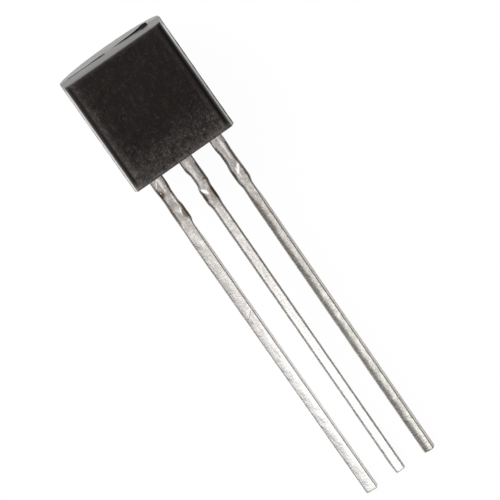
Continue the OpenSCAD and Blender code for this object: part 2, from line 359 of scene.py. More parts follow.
def new_piece(name: str, points: Sequence[Point], faces: Sequence[Sequence[int]]) -> bpy.types.Object:
    """Makes a mesh object and turns all its faces outwards.

    Args:
        name: Name of the piece.
        points: Points in millimetres.
        faces: Faces by their points.

    Returns:
        The new object.
    """
    mesh = bpy.data.meshes.new(name)
    mesh.from_pydata(list(points), [], list(faces))
    mesh.update()
    outward(mesh)
    return new_object(name, mesh)


def evaluated_mesh(source: bpy.types.Object) -> bpy.types.Mesh:
    """Makes a plain mesh of an object with its modifiers."""
    depsgraph = bpy.context.evaluated_depsgraph_get()
    return bpy.data.meshes.new_from_object(source.evaluated_get(depsgraph), depsgraph=depsgraph)


def bake(piece: bpy.types.Object) -> None:
    """Replaces a piece's mesh by what its modifiers make of it, and removes them.

    Args:
        piece: The piece.
    """
    result = evaluated_mesh(piece)
    result.name = piece.name
    piece.modifiers.clear()
    piece.data = result


def unite(piece: bpy.types.Object, others: Sequence[bpy.types.Object], operation: str = "UNION") -> None:
    """Joins other closed meshes to a piece, or cuts them from it, and deletes them.

    Args:
        piece: The piece that stays.
        others: The meshes to join or to cut away.
        operation: UNION or DIFFERENCE.
    """
    for other in others:
        boolean = piece.modifiers.new("join", "BOOLEAN")
        boolean.operation = operation
        boolean.solver = "EXACT"
        boolean.object = other
    bake(piece)
    for other in others:
        bpy.data.objects.remove(other, do_unlink=True)


def settle(piece: bpy.types.Object, resting: Resting, sharp: float) -> None:
    """Lays a piece down, turns it to metres and sets which of its edges are sharp.

    Args:
        piece: The piece, in millimetres and upright.
        resting: How the package lies.
        sharp: Edges with a greater angle than this, in degrees, stay sharp.
    """
    piece.data.transform(Matrix.Diagonal((MM, MM, MM, 1)) @ resting.matrix())
    piece.data.shade_smooth()
    piece.data.set_sharp_from_angle(angle=math.radians(sharp))
    piece.data.update()


def finish_piece(piece: bpy.types.Object, node: str, material: bpy.types.Material) -> None:
    """Gives a piece its material, hangs it on the body and hides the solid that it stands for.

    Args:
        piece: The finished piece.
        node: The solid that it stands for.
        material: The material.
    """
    piece.data.materials.clear()
    piece.data.materials.append(material)
    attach(piece, BODY)
    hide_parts(node)
    LOG.info("%s: %d faces", piece.name, len(piece.data.polygons))


def smooth_step(value: np.ndarray, start: float, end: float) -> np.ndarray:
    """Returns a smooth step that is 0 at the start and 1 at the end."""
    t = np.clip((value - start) / (end - start), 0, 1)
    return t * t * (3 - 2 * t)


@dataclass(frozen=True)
class BodySizes:
    """Sizes of the moulded body."""

    width: float = 4.3
    height: float = 4.79
    front_depth: float = 1.25
    back_straight: float = 0.1
    side_draft: float = 4.6
    front_top_draft: float = 2.0
    front_under_draft: float = 8.5
    back_draft: float = 3.5
    left_edge_r: float = 0.28
    right_edge_r: float = 0.24
    short_edge_r: float = 0.08
    rim_r: float = 0.018
    rim_r: float = 0.018
    rim_fade: Pair = (0.02, 0.2)
    @property
    def half_w(self) -> float:
        """Half the width at the plane of the leads."""
        return self.width / 2

    @property
    def back_y(self) -> float:
        """How far the round back reaches behind the leads."""
        return self.back_straight + self.half_w

    @property
    def flat_half_w(self) -> float:
        """Half the width of the flat, up to where its edges would meet."""
        return self.half_w - self.front_depth * math.tan(math.radians(self.side_draft))

    @property
    def back_rise(self) -> float:
        """How much higher than its middle the underside is at the back."""
        return self.back_y * math.tan(math.radians(self.back_draft))

    def low(self, y: np.ndarray) -> np.ndarray:
        """Finds the underside's height at each depth."""
        front = -y * math.tan(math.radians(self.front_under_draft))
        return np.where(y < 0, front, y * math.tan(math.radians(self.back_draft)))

    def high(self, y: np.ndarray) -> np.ndarray:
        """Finds the top's height at each depth."""
        front = y * math.tan(math.radians(self.front_top_draft))
        return self.height + np.where(y < 0, front, -y * math.tan(math.radians(self.back_draft)))

    def rim(self, y: np.ndarray) -> np.ndarray:
        """Finds the radius of the rim at each depth: wide along the flat, crisp along the walls."""
        start, end = self.rim_fade
        on_flat = 1 - smooth_step(y, start - self.front_depth, end - self.front_depth)
        return self.rim_r + (self.short_edge_r - self.rim_r) * on_flat


@dataclass(frozen=True)
class MouldedBody:
    """The body: the moulded block, the flash and the gate stub that the mould leaves, and the pin mark.

    An unevenness gives the least share of a height and how much comes to it at most.
    """

    sizes: BodySizes = field(default_factory=BodySizes)
    flash_t: float = 0.03
    flash_left: float = 0.008
    flash_right: float = 0.02
    flash_base: float = 0.04
    flash_section: Pair = (0.6, 0.5)
    flash_uneven: Pair = (0.55, 0.45)
    top_crest: tuple[Pair, ...] = (
        (-1.85, -0.01), (-1.8, 0.009), (-0.9, 0.011), (-0.54, 0.021), (-0.25, 0.019), (-0.17, -0.004),
        (0.06, -0.004), (0.33, 0.0125), (0.6, 0.024), (0.9, 0.035), (1.33, 0.06),
    )
    crest_uneven: Pair = (0.8, 0.3)
    gate_x: float = 1.48
    gate_w: float = 0.34
    gate_d: float = 0.24
    gate_h: float = 0.09
    gate_slant: float = 8.0
    gate_squareness: float = 0.85
    gate_foot: tuple[Point, ...] = (
        (1.04, 1.9, -0.9), (1.04, 1.9, 0.12), (1.03, 1.6, 0.28), (1.01, 1.2, 0.38),
    )
    gate_head: tuple[Pair, ...] = ((1, 0.6), (0.97, 0.8), (0.88, 0.9), (0.72, 0.96), (0.5, 0.97), (0.25, 1))
    gate_dents: float = 0.03
    gate_pits: float = 0.012
    pin_mark_d: float = 1.5
    pin_mark_depth: float = 0.17
    pin_mark_edge: float = 0.02
    flat_steps: int = 40
    corner_steps: int = 18
    wall_steps: int = 10
    round_steps: int = 160
    rim_steps: int = 7
    side_steps: int = 240
    side_bend: int = 9
    crest_steps: int = 300
    crest_bend: int = 5
    gate_steps: int = 64
    pin_steps: int = 96
    sharp: float = 32.0
    seed: int = 7

    def half_outline(self, r: float) -> tuple[np.ndarray, np.ndarray]:
        """Draws the right half of the body's outline, from the middle of the flat to the middle of the back.

        Args:
            r: Radius of the flat's long edge.

        Returns:
            The points and the directions outwards at them, without the last one.
        """
        s = self.sizes
        draft = math.radians(s.side_draft)
        corner_y = r - s.front_depth
        corner_x = s.half_w + corner_y * math.tan(draft) - r / math.cos(draft)
        points: list[Pair] = []
        normals: list[Pair] = []
        for x in np.linspace(0, corner_x, self.flat_steps // 2, endpoint=False):
            points.append((x, -s.front_depth))
            normals.append((0, -1))
        for a in np.linspace(-math.pi / 2, -draft, self.corner_steps):
            points.append((corner_x + r * math.cos(a), corner_y + r * math.sin(a)))
            normals.append((math.cos(a), math.sin(a)))
        start = np.array(points[-1])
        for t in np.linspace(0, 1, self.wall_steps + 1)[1:]:
            points.append(tuple(start + (np.array([s.half_w, 0]) - start) * t))
            normals.append((math.cos(draft), -math.sin(draft)))
        for a in np.linspace(0, math.pi / 2, self.round_steps // 2, endpoint=False):
            points.append((s.half_w * math.cos(a), s.back_straight + s.half_w * math.sin(a)))
            normals.append((math.cos(a), math.sin(a)))
        return np.array(points), np.array(normals)

    def outline(self) -> tuple[np.ndarray, np.ndarray]:
        """Draws the body's outline from above, counter-clockwise from the middle of the flat.

        Returns:
            The points and the directions outwards at them.
        """
        mirror = np.array([-1, 1])
        right, right_n = self.half_outline(self.sizes.right_edge_r)
        left, left_n = self.half_outline(self.sizes.left_edge_r)
        ring = np.concatenate([right, [[0, self.sizes.back_y]], (left * mirror)[:0:-1]])
        ring_n = np.concatenate([right_n, [[0, 1]], (left_n * mirror)[:0:-1]])
        return ring, ring_n

    def block(self) -> bpy.types.Object:
        """Builds the block: rings up the underside's rim, the walls and the top's rim.

        Returns:
            The block.
        """
        s = self.sizes
        outline, normals = self.outline()
        radius = s.rim(outline[:, 1])
        angles = np.linspace(0, math.pi / 2, self.rim_steps)
        rings = []
        for a in angles:
            inset = outline - normals * (radius * (1 - math.sin(a)))[:, None]
            rings.append(np.column_stack([inset, s.low(inset[:, 1]) + radius * (1 - math.cos(a))]))
        for a in reversed(angles):
            inset = outline - normals * (radius * (1 - math.sin(a)))[:, None]
            rings.append(np.column_stack([inset, s.high(inset[:, 1]) - radius * (1 - math.cos(a))]))
        return new_piece("body", *loft(rings, (0, 0, 0), (0, 0, s.height)))

    def ragged(self, count: int, grain: int, seed: int) -> np.ndarray:
        """Makes an uneven line of values between 0 and 1, straight from one of its bends to the next."""
        knots = np.random.default_rng(seed).random(count // grain + 2)
        return np.interp(np.arange(count), np.arange(len(knots)) * grain, knots)

    def ridge(self, name: str, foot: np.ndarray, outwards: Point, heights: np.ndarray) -> bpy.types.Object:
        """Builds a thin ridge of flash with a ragged crest, in the plane of the leads.

        Args:
            name: Name of the object.
            foot: Points along its foot, on the body's surface.
            outwards: The direction in which it stands out.
            heights: Height of the crest over each point.

        Returns:
            The ridge, whose foot reaches into the body.
        """
        half, base = self.flash_t / 2, self.flash_base
        shoulder, crest = self.flash_section
        rings = []
        for point, height in zip(foot, heights):
            section = (
                (-base, -half), (height * shoulder, -half), (height, -half * crest),
                (height, half * crest), (height * shoulder, half), (-base, half),
            )
            ring = [point + rise * np.array(outwards) + (0, depth, 0) for rise, depth in section]
            rings.append(np.array(ring))
        return new_piece(name, *loft(rings, tuple(rings[0].mean(axis=0)), tuple(rings[-1].mean(axis=0))))

    def flash(self) -> list[bpy.types.Object]:
        """Builds the flash down both sides and along the top, broken off in places.

        Returns:
            The ridges.
        """
        s = self.sizes
        pieces = []
        up = np.linspace(self.flash_t, s.height - self.flash_t, self.side_steps)
        least, more = self.flash_uneven
        for side, most, name in ((-1, self.flash_left, "flash_left"), (1, self.flash_right, "flash_right")):
            foot = np.column_stack([np.full(len(up), side * s.half_w), np.zeros(len(up)), up])
            proud = most * (least + more * self.ragged(len(up), self.side_bend, self.seed + side))
            pieces.append(self.ridge(name, foot, (side, 0, 0), proud))
        x = np.linspace(self.top_crest[0][0], self.top_crest[-1][0], self.crest_steps)
        foot = np.column_stack([x, np.zeros(len(x)), np.full(len(x), s.height)])
        least, more = self.crest_uneven
        uneven = least + more * self.ragged(len(x), self.crest_bend, self.seed)
        crest = np.interp(x, *np.array(self.top_crest).T) * uneven
        pieces.append(self.ridge("flash_top", foot, (0, 0, 1), crest))
        return pieces

    def gate(self) -> bpy.types.Object:
        """Builds the stub of the gate, rounded and broken off at a slant.

        Returns:
            The stub, whose foot reaches into the body.
        """
        rng = np.random.default_rng(self.seed + 1)
        count, height = self.gate_steps, self.sizes.height
        angles = np.linspace(0, 2 * math.pi, count, endpoint=False)
        half_w, half_d = self.gate_w / 2, self.gate_d / 2
        square = np.column_stack([
            np.sign(share) * np.abs(share) ** self.gate_squareness * half
            for share, half in ((np.cos(angles), half_w), (np.sin(angles), half_d))
        ])
        slant = math.tan(math.radians(self.gate_slant))
        torn_from, pitted_from, dented_to = 0.5, 0.85, 0.9
        rings = []
        head = tuple((share, share, rise) for share, rise in self.gate_head)
        for across, along, rise in self.gate_foot + head:
            dents = self.gate_dents * rng.random((count, 1)) * (torn_from < rise < dented_to)
            ring = square * (across, along) * (1 + dents)
            top = self.gate_h - (half_d - ring[:, 1]) * slant
            z = height + rise * np.where(rise > 0, top, self.gate_h)
            z = z - self.gate_pits * rng.random(count) * (rise > pitted_from)
            rings.append(np.column_stack([ring[:, 0] + self.gate_x, ring[:, 1], z]))
        low = (self.gate_x, 0, height + self.gate_foot[0][2] * self.gate_h)
        high = (self.gate_x, 0, height + self.gate_h - half_d * slant)
        return new_piece("gate", *loft(rings, low, high))

    def pin_cutter(self) -> bpy.types.Object:
        """Builds the round tool that cuts the ejector pin's mark into the back.

        Returns:
            The tool.
        """
        r, edge, count = self.pin_mark_d / 2, self.pin_mark_edge, self.pin_steps
        middle = self.sizes.height / 2
        angles = np.linspace(0, 2 * math.pi, count, endpoint=False)
        floor = self.sizes.back_y - self.pin_mark_depth
        outside = floor + 1
        rings = [
            np.column_stack([radius * np.cos(angles), np.full(count, y), middle + radius * np.sin(angles)])
            for radius, y in ((r - edge, floor), (r, floor + edge), (r, outside))
        ]
        return new_piece("pin", *loft(rings, (0, floor, middle), (0, outside, middle)))

    def build(self, resting: Resting, material: bpy.types.Material) -> None:
        """Builds the body, joins its marks to it and lays it down.

        Args:
            resting: How the package lies.
            material: The moulding compound.
        """
        body = self.block()
        unite(body, [self.pin_cutter()], "DIFFERENCE")
        unite(body, [*self.flash(), self.gate()])
        settle(body, resting, self.sharp)
        finish_piece(body, "case", material)


@dataclass(frozen=True)
class LeadSizes:
    """Sizes that all the tinned leads share, with distances below the body."""

    length: float = 14.09
    pitch: float = 1.29
    bare_t: float = 0.38
    bare_w: float = 0.44
    tin_t: float = 0.012
    shaft_r: float = 0.06
    shoulder_l: float = 0.38
    neck_l: float = 0.34
    stub_l: float = 0.46
    step_l: float = 0.32
    tip_r: float = 0.06
    root: float = 0.3

    @property
    def tinned_half_t(self) -> float:
        """Half the thickness of a lead with its tin."""
        return self.bare_t / 2 + self.tin_t

    @property
    def stub_start(self) -> float:
        """Distance below the body at which the stub of the cut tie bar is at its full width."""
        return self.shoulder_l + self.neck_l + 2 * self.step_l

    @property
    def stub_end(self) -> float:
        """Distance below the body at which the stub begins to end."""
        return self.stub_start + self.stub_l


@dataclass(frozen=True)
class LeadShape:
    """What differs from lead to lead: widths, places to the right of the shoulder, the twist in degrees."""

    shift: float
    shoulder_w: float
    neck_w: float
    neck_shift: float
    stub_w: float
    stub_shift: float
    shaft_w: float
    shaft_shift: float
    twist: float
    lean: float


class LeadSweep:
    """The node tree that sweeps a tinned lead: shoulder, neck, tie bar stub, then the turned shaft."""

    RINGS = 420
    SIDES = 96
    HEAD_SHARE = 0.42
    TIP_SHARE = 0.975
    HEAD_LENGTH = 2.6
    SMALLEST_RADIUS = 0.002
    WAVE_STRETCH = (1.0, 1.0, 0.6)
    WAVE_RANGE = (0.25, 0.75)
    SEEDS_APART = 17.0

    def __init__(self, names: Iterable[str]) -> None:
        """Builds the tree.

        Args:
            names: Names of a lead's values, which become the inputs.
        """
        inputs = numbers(*names)
        inputs += [Port(name, SocketKind.INTEGER) for name in ("Rings", "Sides", "Seed")]
        inputs.append(Port("Material", SocketKind.MATERIAL))
        outputs = [Port("Lead", SocketKind.GEOMETRY)]
        self.graph, self.given, self.made = new_group("tinned_lead_sweep", TreeKind.GEOMETRY, inputs, outputs)
        self.build()

    def run(self, share: Socket) -> tuple[Socket, Socket]:
        """Spreads the rings: close together at the head, even along the shaft, and round the tip.

        Args:
            share: A ring's place among the rings, from 0 at the body to 1 at the tip.

        Returns:
            The ring's distance below the body, and how much the round of the tip takes off it.
        """
        g, given = self.graph, self.given
        straight = g.minus(g.minus(given["Length"], given["Tip Radius"]), self.HEAD_LENGTH)
        head = g.ramp(share, 0.0, self.HEAD_SHARE, 0.0, self.HEAD_LENGTH, smooth=False)
        shaft = g.ramp(share, self.HEAD_SHARE, self.TIP_SHARE, 0.0, straight, smooth=False)
        angle = g.ramp(share, self.TIP_SHARE, 1.0, 0.0, math.pi / 2, smooth=False)
        distance = g.plus(head, shaft, g.times(given["Tip Radius"], g.maths("SINE", angle)))
        shrink = g.times(given["Tip Radius"], g.minus(1.0, g.maths("COSINE", angle)))
        return distance, shrink

    def steps(self, distance: Socket) -> tuple[tuple[Socket, Socket, Socket], Socket, Socket]:
        """Finds how far the lead has gone through its three steps, its lean and its twist.

        Args:
            distance: Distance below the body.

        Returns:
            The three steps, from shoulder to neck to stub to shaft, then the lean and the turn.
        """
        g, given = self.graph, self.given
        neck_start = g.plus(given["Shoulder Length"], given["Step"])
        neck_end = g.plus(neck_start, given["Neck Length"])
        stub_start = g.plus(neck_end, given["Step"])
        stub_end = g.plus(stub_start, given["Stub Length"])
        shaft_start = g.plus(stub_end, given["Step"])
        twist_end = g.plus(shaft_start, given["Twist Length"])
        steps = (
            g.ramp(distance, given["Shoulder Length"], neck_start),
            g.ramp(distance, neck_end, stub_start),
            g.ramp(distance, stub_end, shaft_start),
        )
        lean = g.times(
            g.minus(given["Lean"], given["Shaft Shift"]),
            g.ramp(distance, stub_end, given["Length"], smooth=False),
        )
        turn = g.times(given["Twist"], g.ramp(distance, shaft_start, twist_end))
        return steps, lean, turn

    def along(
        self, steps: Sequence[Socket], shoulder: Input, neck: Input, stub: Input, shaft: Input
    ) -> Socket:
        """Finds a value that changes in steps along the lead.

        Args:
            steps: How far the lead has gone through its three steps.
            shoulder: The value at the shoulder.
            neck: The value at the neck.
            stub: The value at the stub of the tie bar.
            shaft: The value at the shaft.

        Returns:
            The value.
        """
        value = self.graph.mix(steps[0], shoulder, neck)
        value = self.graph.mix(steps[1], value, stub)
        return self.graph.mix(steps[2], value, shaft)

    def section(self, ring: Socket, width: Socket, on_shaft: Socket, shrink: Socket) -> Socket:
        """Turns a point of the unit circle into a point of a crowned rectangle with round corners.

        Args:
            ring: The point of the unit circle.
            width: Width of the lead.
            on_shaft: 0 above the shaft, 1 on it.
            shrink: How much the round of the tip takes off all round.

        Returns:
            The point of the section.
        """
        g, given = self.graph, self.given
        x, y, _ = g.split(ring)
        reach = g.maths("MAXIMUM", g.maths("ABSOLUTE", x), g.maths("ABSOLUTE", y))
        half_w = g.minus(g.times(width, 0.5), shrink)
        half_t = g.minus(given["Half Thickness"], shrink)
        side = g.mix(g.maths("GREATER_THAN", x, 0.0), given["Left Radius"], given["Right Radius"])
        radius = g.minus(g.mix(on_shaft, given["Head Radius"], side), shrink)
        r = g.maths("MAXIMUM", radius, self.SMALLEST_RADIUS)
        square_x = g.times(g.maths("DIVIDE", x, reach), half_w)
        square = g.join(square_x, g.times(g.maths("DIVIDE", y, reach), half_t))
        core_half = g.join(g.minus(half_w, r), g.minus(half_t, r))
        core = g.vector("MAXIMUM", g.vector("MINIMUM", square, core_half), g.scale(core_half, -1.0))
        away = g.vector("NORMALIZE", g.vector("SUBTRACT", square, core))
        rounded_x, rounded_y, _ = g.split(g.vector("ADD", core, g.scale(away, r)))
        crown = g.mix(on_shaft, given["Head Crown"], given["Shaft Crown"])
        off_middle = g.maths("POWER", g.maths("ABSOLUTE", g.maths("DIVIDE", rounded_x, half_w)), 2.0)
        return g.join(rounded_x, g.times(rounded_y, g.minus(1.0, g.times(crown, off_middle))))

    def unevenness(self) -> Socket:
        """Finds how far each point is pushed inwards by the waves of the tin.

        Returns:
            The push.
        """
        g, given = self.graph, self.given
        place = g.vector("MULTIPLY", g.add("GeometryNodeInputPosition").outputs[0], self.WAVE_STRETCH)
        moved = g.vector("ADD", place, g.join(0.0, 0.0, g.times(given["Seed"], self.SEEDS_APART)))
        waves = g.noise(moved, given["Grain"], detail=3.0)
        depth = g.times(g.ramp(waves, *self.WAVE_RANGE), given["Unevenness"], -1.0)
        return g.scale(g.add("GeometryNodeInputNormal").outputs[0], depth)

    def build(self) -> None:
        """Builds the tree: a tube, its points put in place by the lead's rule, then roughened inwards."""
        g, given = self.graph, self.given
        tube = g.add(
            "GeometryNodeMeshCylinder",
            {"Vertices": given["Sides"], "Side Segments": given["Rings"], "Radius": 1.0, "Depth": 1.0},
            fill_type="TRIANGLE_FAN",
        )
        position = g.add("GeometryNodeInputPosition").outputs[0]
        height = g.split(position)[2]
        distance, shrink = self.run(g.minus(0.5, height))
        steps, lean, turn = self.steps(distance)
        places = ("Shoulder", "Neck", "Stub", "Shaft")
        width = self.along(steps, *(given[place + " Width"] for place in places))
        shift = self.along(steps, 0.0, given["Neck Shift"], given["Stub Shift"], given["Shaft Shift"])
        section = g.add(
            "ShaderNodeVectorRotate",
            {"Vector": self.section(position, width, steps[2], shrink), "Angle": g.times(turn, -1.0)},
            rotation_type="Z_AXIS",
        ).outputs[0]
        down = g.join(g.plus(given["Place"], shift, lean), 0.0, g.times(distance, -1.0))
        shape = tube.outputs["Mesh"]
        for kind, feeds in (
            ("GeometryNodeSetPosition", {"Position": g.vector("ADD", section, down)}),
            ("GeometryNodeSetPosition", {"Offset": self.unevenness()}),
            ("GeometryNodeSetShadeSmooth", {}),
            ("GeometryNodeRealizeInstances", {}),
            ("GeometryNodeSetMaterial", {"Material": given["Material"]}),
        ):
            shape = g.add(kind, {"Geometry": shape, **feeds}).outputs[0]
        g.feed(self.made["Lead"], shape)


@dataclass(frozen=True)
class FramePlate:
    """The flat end of a lead inside the body, with the strip that joins it to the part outside."""

    low: Pair
    high: Pair
    holes: tuple[Pair, ...] = ()
    hole_d: float = 0.26
    corner_r: float = 0.12
    steps: int = 12

    def arc(self, x: float, z: float, r: float, start: float, end: float) -> list[Pair]:
        """Draws an arc round a place in the plane of the leads, with its ends in degrees."""
        angles = np.radians(np.linspace(start, end, self.steps))
        return [(x + r * math.cos(a), z + r * math.sin(a)) for a in angles]

    def outline(self, strip_x: float, strip_w: float, root: float) -> list[Pair]:
        """Draws the plate and its strip.

        Args:
            strip_x: Where the strip leaves the body.
            strip_w: Width of the strip.
            root: How far the strip reaches below the body.

        Returns:
            The points, counter-clockwise from the strip's lower left corner.
        """
        (x0, z0), (x1, z1), r = self.low, self.high, self.corner_r
        left, right = strip_x - strip_w / 2, strip_x + strip_w / 2
        left_cut = math.degrees(math.asin(max(0.0, x0 + r - left) / r))
        right_cut = math.degrees(math.asin(max(0.0, right - x1 + r) / r))
        return [
            (left, -root), (right, -root), (right, z0),
            *self.arc(x1 - r, z0 + r, r, right_cut - 90, 0),
            *self.arc(x1 - r, z1 - r, r, 0, 90),
            *self.arc(x0 + r, z1 - r, r, 90, 180),
            *self.arc(x0 + r, z0 + r, r, 180, 270 - left_cut),
            (left, z0),
        ]

    def build(self, name: str, strip_x: float, sizes: LeadSizes) -> bpy.types.Object:
        """Builds the plate as a filled curve with its thickness.

        Args:
            name: Name of the object.
            strip_x: Where the strip leaves the body.
            sizes: The leads' shared sizes.

        Returns:
            The plate, upright, with its middle in the plane of the leads.
        """
        curve = bpy.data.curves.new(name, "CURVE")
        curve.dimensions = "2D"
        curve.fill_mode = "BOTH"
        curve.extrude = sizes.bare_t / 2
        last = 360 - 360 / self.steps
        rounds = [self.arc(x, z, self.hole_d / 2, 0, last) for x, z in self.holes]
        for points in (self.outline(strip_x, sizes.bare_w, sizes.root), *rounds):
            spline = curve.splines.new("POLY")
            spline.points.add(len(points) - 1)
            for target, (x, z) in zip(spline.points, points):
                target.co = (x, z, 0, 1)
            spline.use_cyclic_u = True
        flat = new_object(name, curve)
        mesh = evaluated_mesh(flat)
        bpy.data.objects.remove(flat, do_unlink=True)
        mesh.transform(Matrix.Rotation(math.pi / 2, 4, "X"))
        outward(mesh)
        return new_object(name, mesh)


@dataclass(frozen=True)
class TinnedLead:
    """One lead: the stamped end inside the body and the tinned part outside."""

    node: str
    index: int
    shape: LeadShape
    plate: FramePlate
    sizes: LeadSizes = field(default_factory=LeadSizes)
    left_r: float = 0.1
    right_r: float = 0.06
    head_r: float = 0.1
    head_crown: float = 0.22
    shaft_crown: float = 0.18
    grown_left: float = 0.018
    turn_length: float = 0.8
    unevenness: float = 0.006
    grain: float = 3.4
    sharp: float = 40.0

    @property
    def place(self) -> float:
        """Where the lead leaves the body, across it."""
        return (self.index - 1) * self.sizes.pitch + self.shape.shift

    @property
    def reach(self) -> float:
        """How far the turned shaft reaches to the back, as the solids have it."""
        s = self.sizes
        turn = math.radians(self.shape.twist)
        across, behind = self.shape.shaft_w / 2 - s.shaft_r, s.tinned_half_t - s.shaft_r
        return behind * math.cos(turn) + across * math.sin(turn) + s.shaft_r

    def values(self) -> dict[str, float]:
        """Lists what goes into the sweep's inputs.

        Returns:
            The values by the inputs' names.
        """
        s, shape = self.sizes, self.shape
        grown, moved = self.grown_left, self.grown_left / 2
        return {
            "Length": s.length, "Place": self.place, "Half Thickness": s.tinned_half_t, "Step": s.step_l,
            "Shoulder Width": shape.shoulder_w, "Shoulder Length": s.shoulder_l,
            "Neck Width": shape.neck_w + grown, "Neck Length": s.neck_l,
            "Neck Shift": shape.neck_shift - moved,
            "Stub Width": shape.stub_w, "Stub Length": s.stub_l, "Stub Shift": shape.stub_shift,
            "Shaft Width": shape.shaft_w + grown, "Shaft Shift": shape.shaft_shift - moved,
            "Head Radius": self.head_r, "Left Radius": self.left_r, "Right Radius": self.right_r,
            "Head Crown": self.head_crown, "Shaft Crown": self.shaft_crown,
            "Twist": math.radians(shape.twist), "Twist Length": self.turn_length,
            "Lean": shape.lean - moved, "Tip Radius": s.tip_r,
            "Unevenness": self.unevenness, "Grain": self.grain,
        }

    def build(self, sweep: LeadSweep, resting: Resting, material: bpy.types.Material) -> None:
        """Builds the lead and lays it down.

        Args:
            sweep: The node tree that sweeps the tinned part.
            resting: How the package lies.
            material: The lead's finish.
        """
        name = self.node + "_tinned"
        piece = new_object(name, bpy.data.meshes.new(name))
        modifier = piece.modifiers.new("sweep", "NODES")
        modifier.node_group = sweep.graph.tree
        keys = {
            item.name: item.identifier
            for item in sweep.graph.tree.interface.items_tree
            if item.item_type == "SOCKET" and item.in_out == "INPUT"
        }
        whole = {"Rings": sweep.RINGS, "Sides": sweep.SIDES, "Seed": self.index + 1, "Material": material}
        for label, value in (self.values() | whole).items():
            modifier[keys[label]] = value
        bake(piece)
        outward(piece.data)
        unite(piece, [self.plate.build(self.node + "_plate", self.place, self.sizes)])
        settle(piece, resting, self.sharp)
        finish_piece(piece, self.node, material)


class Texture:
    """Shared effects as shader node groups, each built once."""

    VECTOR = Port("Vector", SocketKind.VECTOR)
    SPOT_GRAIN = 13.0
    SPOT_EDGE = (1.3, 0.6)

    def __init__(self) -> None:
        """Builds the groups."""
        self.speckle = self._speckle()
        self.mottle = self._mottle()
        self.strokes = self._strokes()
        self.spot = self._spot()

    def place(self, graph: Graph, group: bpy.types.NodeTree, feeds: dict[str, Input]) -> dict[str, Socket]:
        """Puts a group into a material.

        Args:
            graph: The material's graph.
            group: The group.
            feeds: The values of its inputs, by their names.

        Returns:
            Its outputs by their names.
        """
        node = graph.add("ShaderNodeGroup", node_tree=group)
        for name, value in feeds.items():
            graph.feed(node.inputs[name], value)
        return {output.name: output for output in node.outputs}

    def _speckle(self) -> bpy.types.NodeTree:
        """Builds fine grains of two sizes, as of a spark-eroded mould or of filler in a plastic.

        Returns:
            The group.
        """
        g, given, made = new_group(
            "fine_speckle", TreeKind.SHADER,
            [self.VECTOR, *numbers("Grain", "Patches", "Share")], numbers("Height", "Specks", "Cloud"),
        )
        fine = g.noise(given["Vector"], given["Grain"], roughness=0.6)
        coarse = g.noise(given["Vector"], g.times(given["Grain"], 0.4))
        cloud = g.noise(given["Vector"], given["Patches"], detail=3.0, roughness=0.55)
        mixed = g.mix(0.4, fine, coarse)
        limit = g.minus(0.72, g.times(given["Share"], 0.3))
        g.feed(made["Height"], g.ramp(mixed, 0.3, 0.7, smooth=False))
        g.feed(made["Specks"], g.ramp(mixed, g.minus(limit, 0.1), g.plus(limit, 0.1)))
        g.feed(made["Cloud"], g.ramp(cloud, 0.3, 0.7))
        return g.tree

    def _mottle(self) -> bpy.types.NodeTree:
        """Builds soft blotches and grains, as of hot-dipped tin or dull solder.

        Returns:
            The group.
        """
        g, given, made = new_group(
            "dull_mottle", TreeKind.SHADER,
            [self.VECTOR, *numbers("Grain", "Stretch")], numbers("Blotch", "Grains", "Height"),
        )
        x, y, z = g.split(given["Vector"])
        drawn = g.join(x, y, g.times(z, given["Stretch"]))
        blotch = g.noise(drawn, given["Grain"], detail=4.0, roughness=0.6)
        fine = g.noise(given["Vector"], g.times(given["Grain"], 3.5), roughness=0.6)
        g.feed(made["Blotch"], g.ramp(g.mix(0.35, blotch, fine), 0.36, 0.64))
        g.feed(made["Grains"], g.ramp(fine, 0.32, 0.68, smooth=False))
        g.feed(made["Height"], g.mix(0.3, blotch, fine))
        return g.tree

    def _strokes(self) -> bpy.types.NodeTree:
        """Builds fine strokes along z or across it, as of drawing, rubbing or a rolling die.

        Returns:
            The group.
        """
        g, given, made = new_group(
            "drawn_strokes", TreeKind.SHADER, [self.VECTOR, *numbers("Across", "Along")], numbers("Strokes")
        )
        x, y, z = g.split(given["Vector"])
        drawn = g.join(g.times(x, given["Across"]), g.times(y, given["Across"]), g.times(z, given["Along"]))
        g.feed(made["Strokes"], g.ramp(g.noise(drawn, 1.0, roughness=0.65), 0.32, 0.68))
        return g.tree

    def _spot(self) -> bpy.types.NodeTree:
        """Builds one soft, uneven spot on a plane: an ellipse with its own place, size and turn.

        Returns:
            The group.
        """
        places = [Port(name, SocketKind.VECTOR) for name in ("Vector", "Centre", "Size")]
        g, given, made = new_group("soft_spot", TreeKind.SHADER, [*places, Port("Turn")], numbers("Mask"))
        moved = g.vector("SUBTRACT", given["Vector"], given["Centre"])
        turned = g.add(
            "ShaderNodeVectorRotate", {"Vector": moved, "Angle": given["Turn"]}, rotation_type="Z_AXIS"
        ).outputs[0]
        from_centre = g.vector("LENGTH", g.vector("DIVIDE", turned, given["Size"]), result="Value")
        ragged = g.minus(g.noise(given["Vector"], self.SPOT_GRAIN), 0.5)
        g.feed(made["Mask"], g.ramp(g.plus(from_centre, ragged), *self.SPOT_EDGE))
        return g.tree


def new_material(name: str) -> tuple[bpy.types.Material, Graph, bpy.types.Node]:
    """Makes an empty material.

    Args:
        name: Name of the material.

    Returns:
        The material, its graph and its main shader, already joined to the output.
    """
    material = bpy.data.materials.new(name)
    material.use_nodes = True
    graph = Graph(material.node_tree)
    graph.tree.nodes.clear()
    shader = graph.add("ShaderNodeBsdfPrincipled")
    output = graph.add("ShaderNodeOutputMaterial")
    graph.feed(output.inputs["Surface"], shader.outputs["BSDF"])
    return material, graph, shader


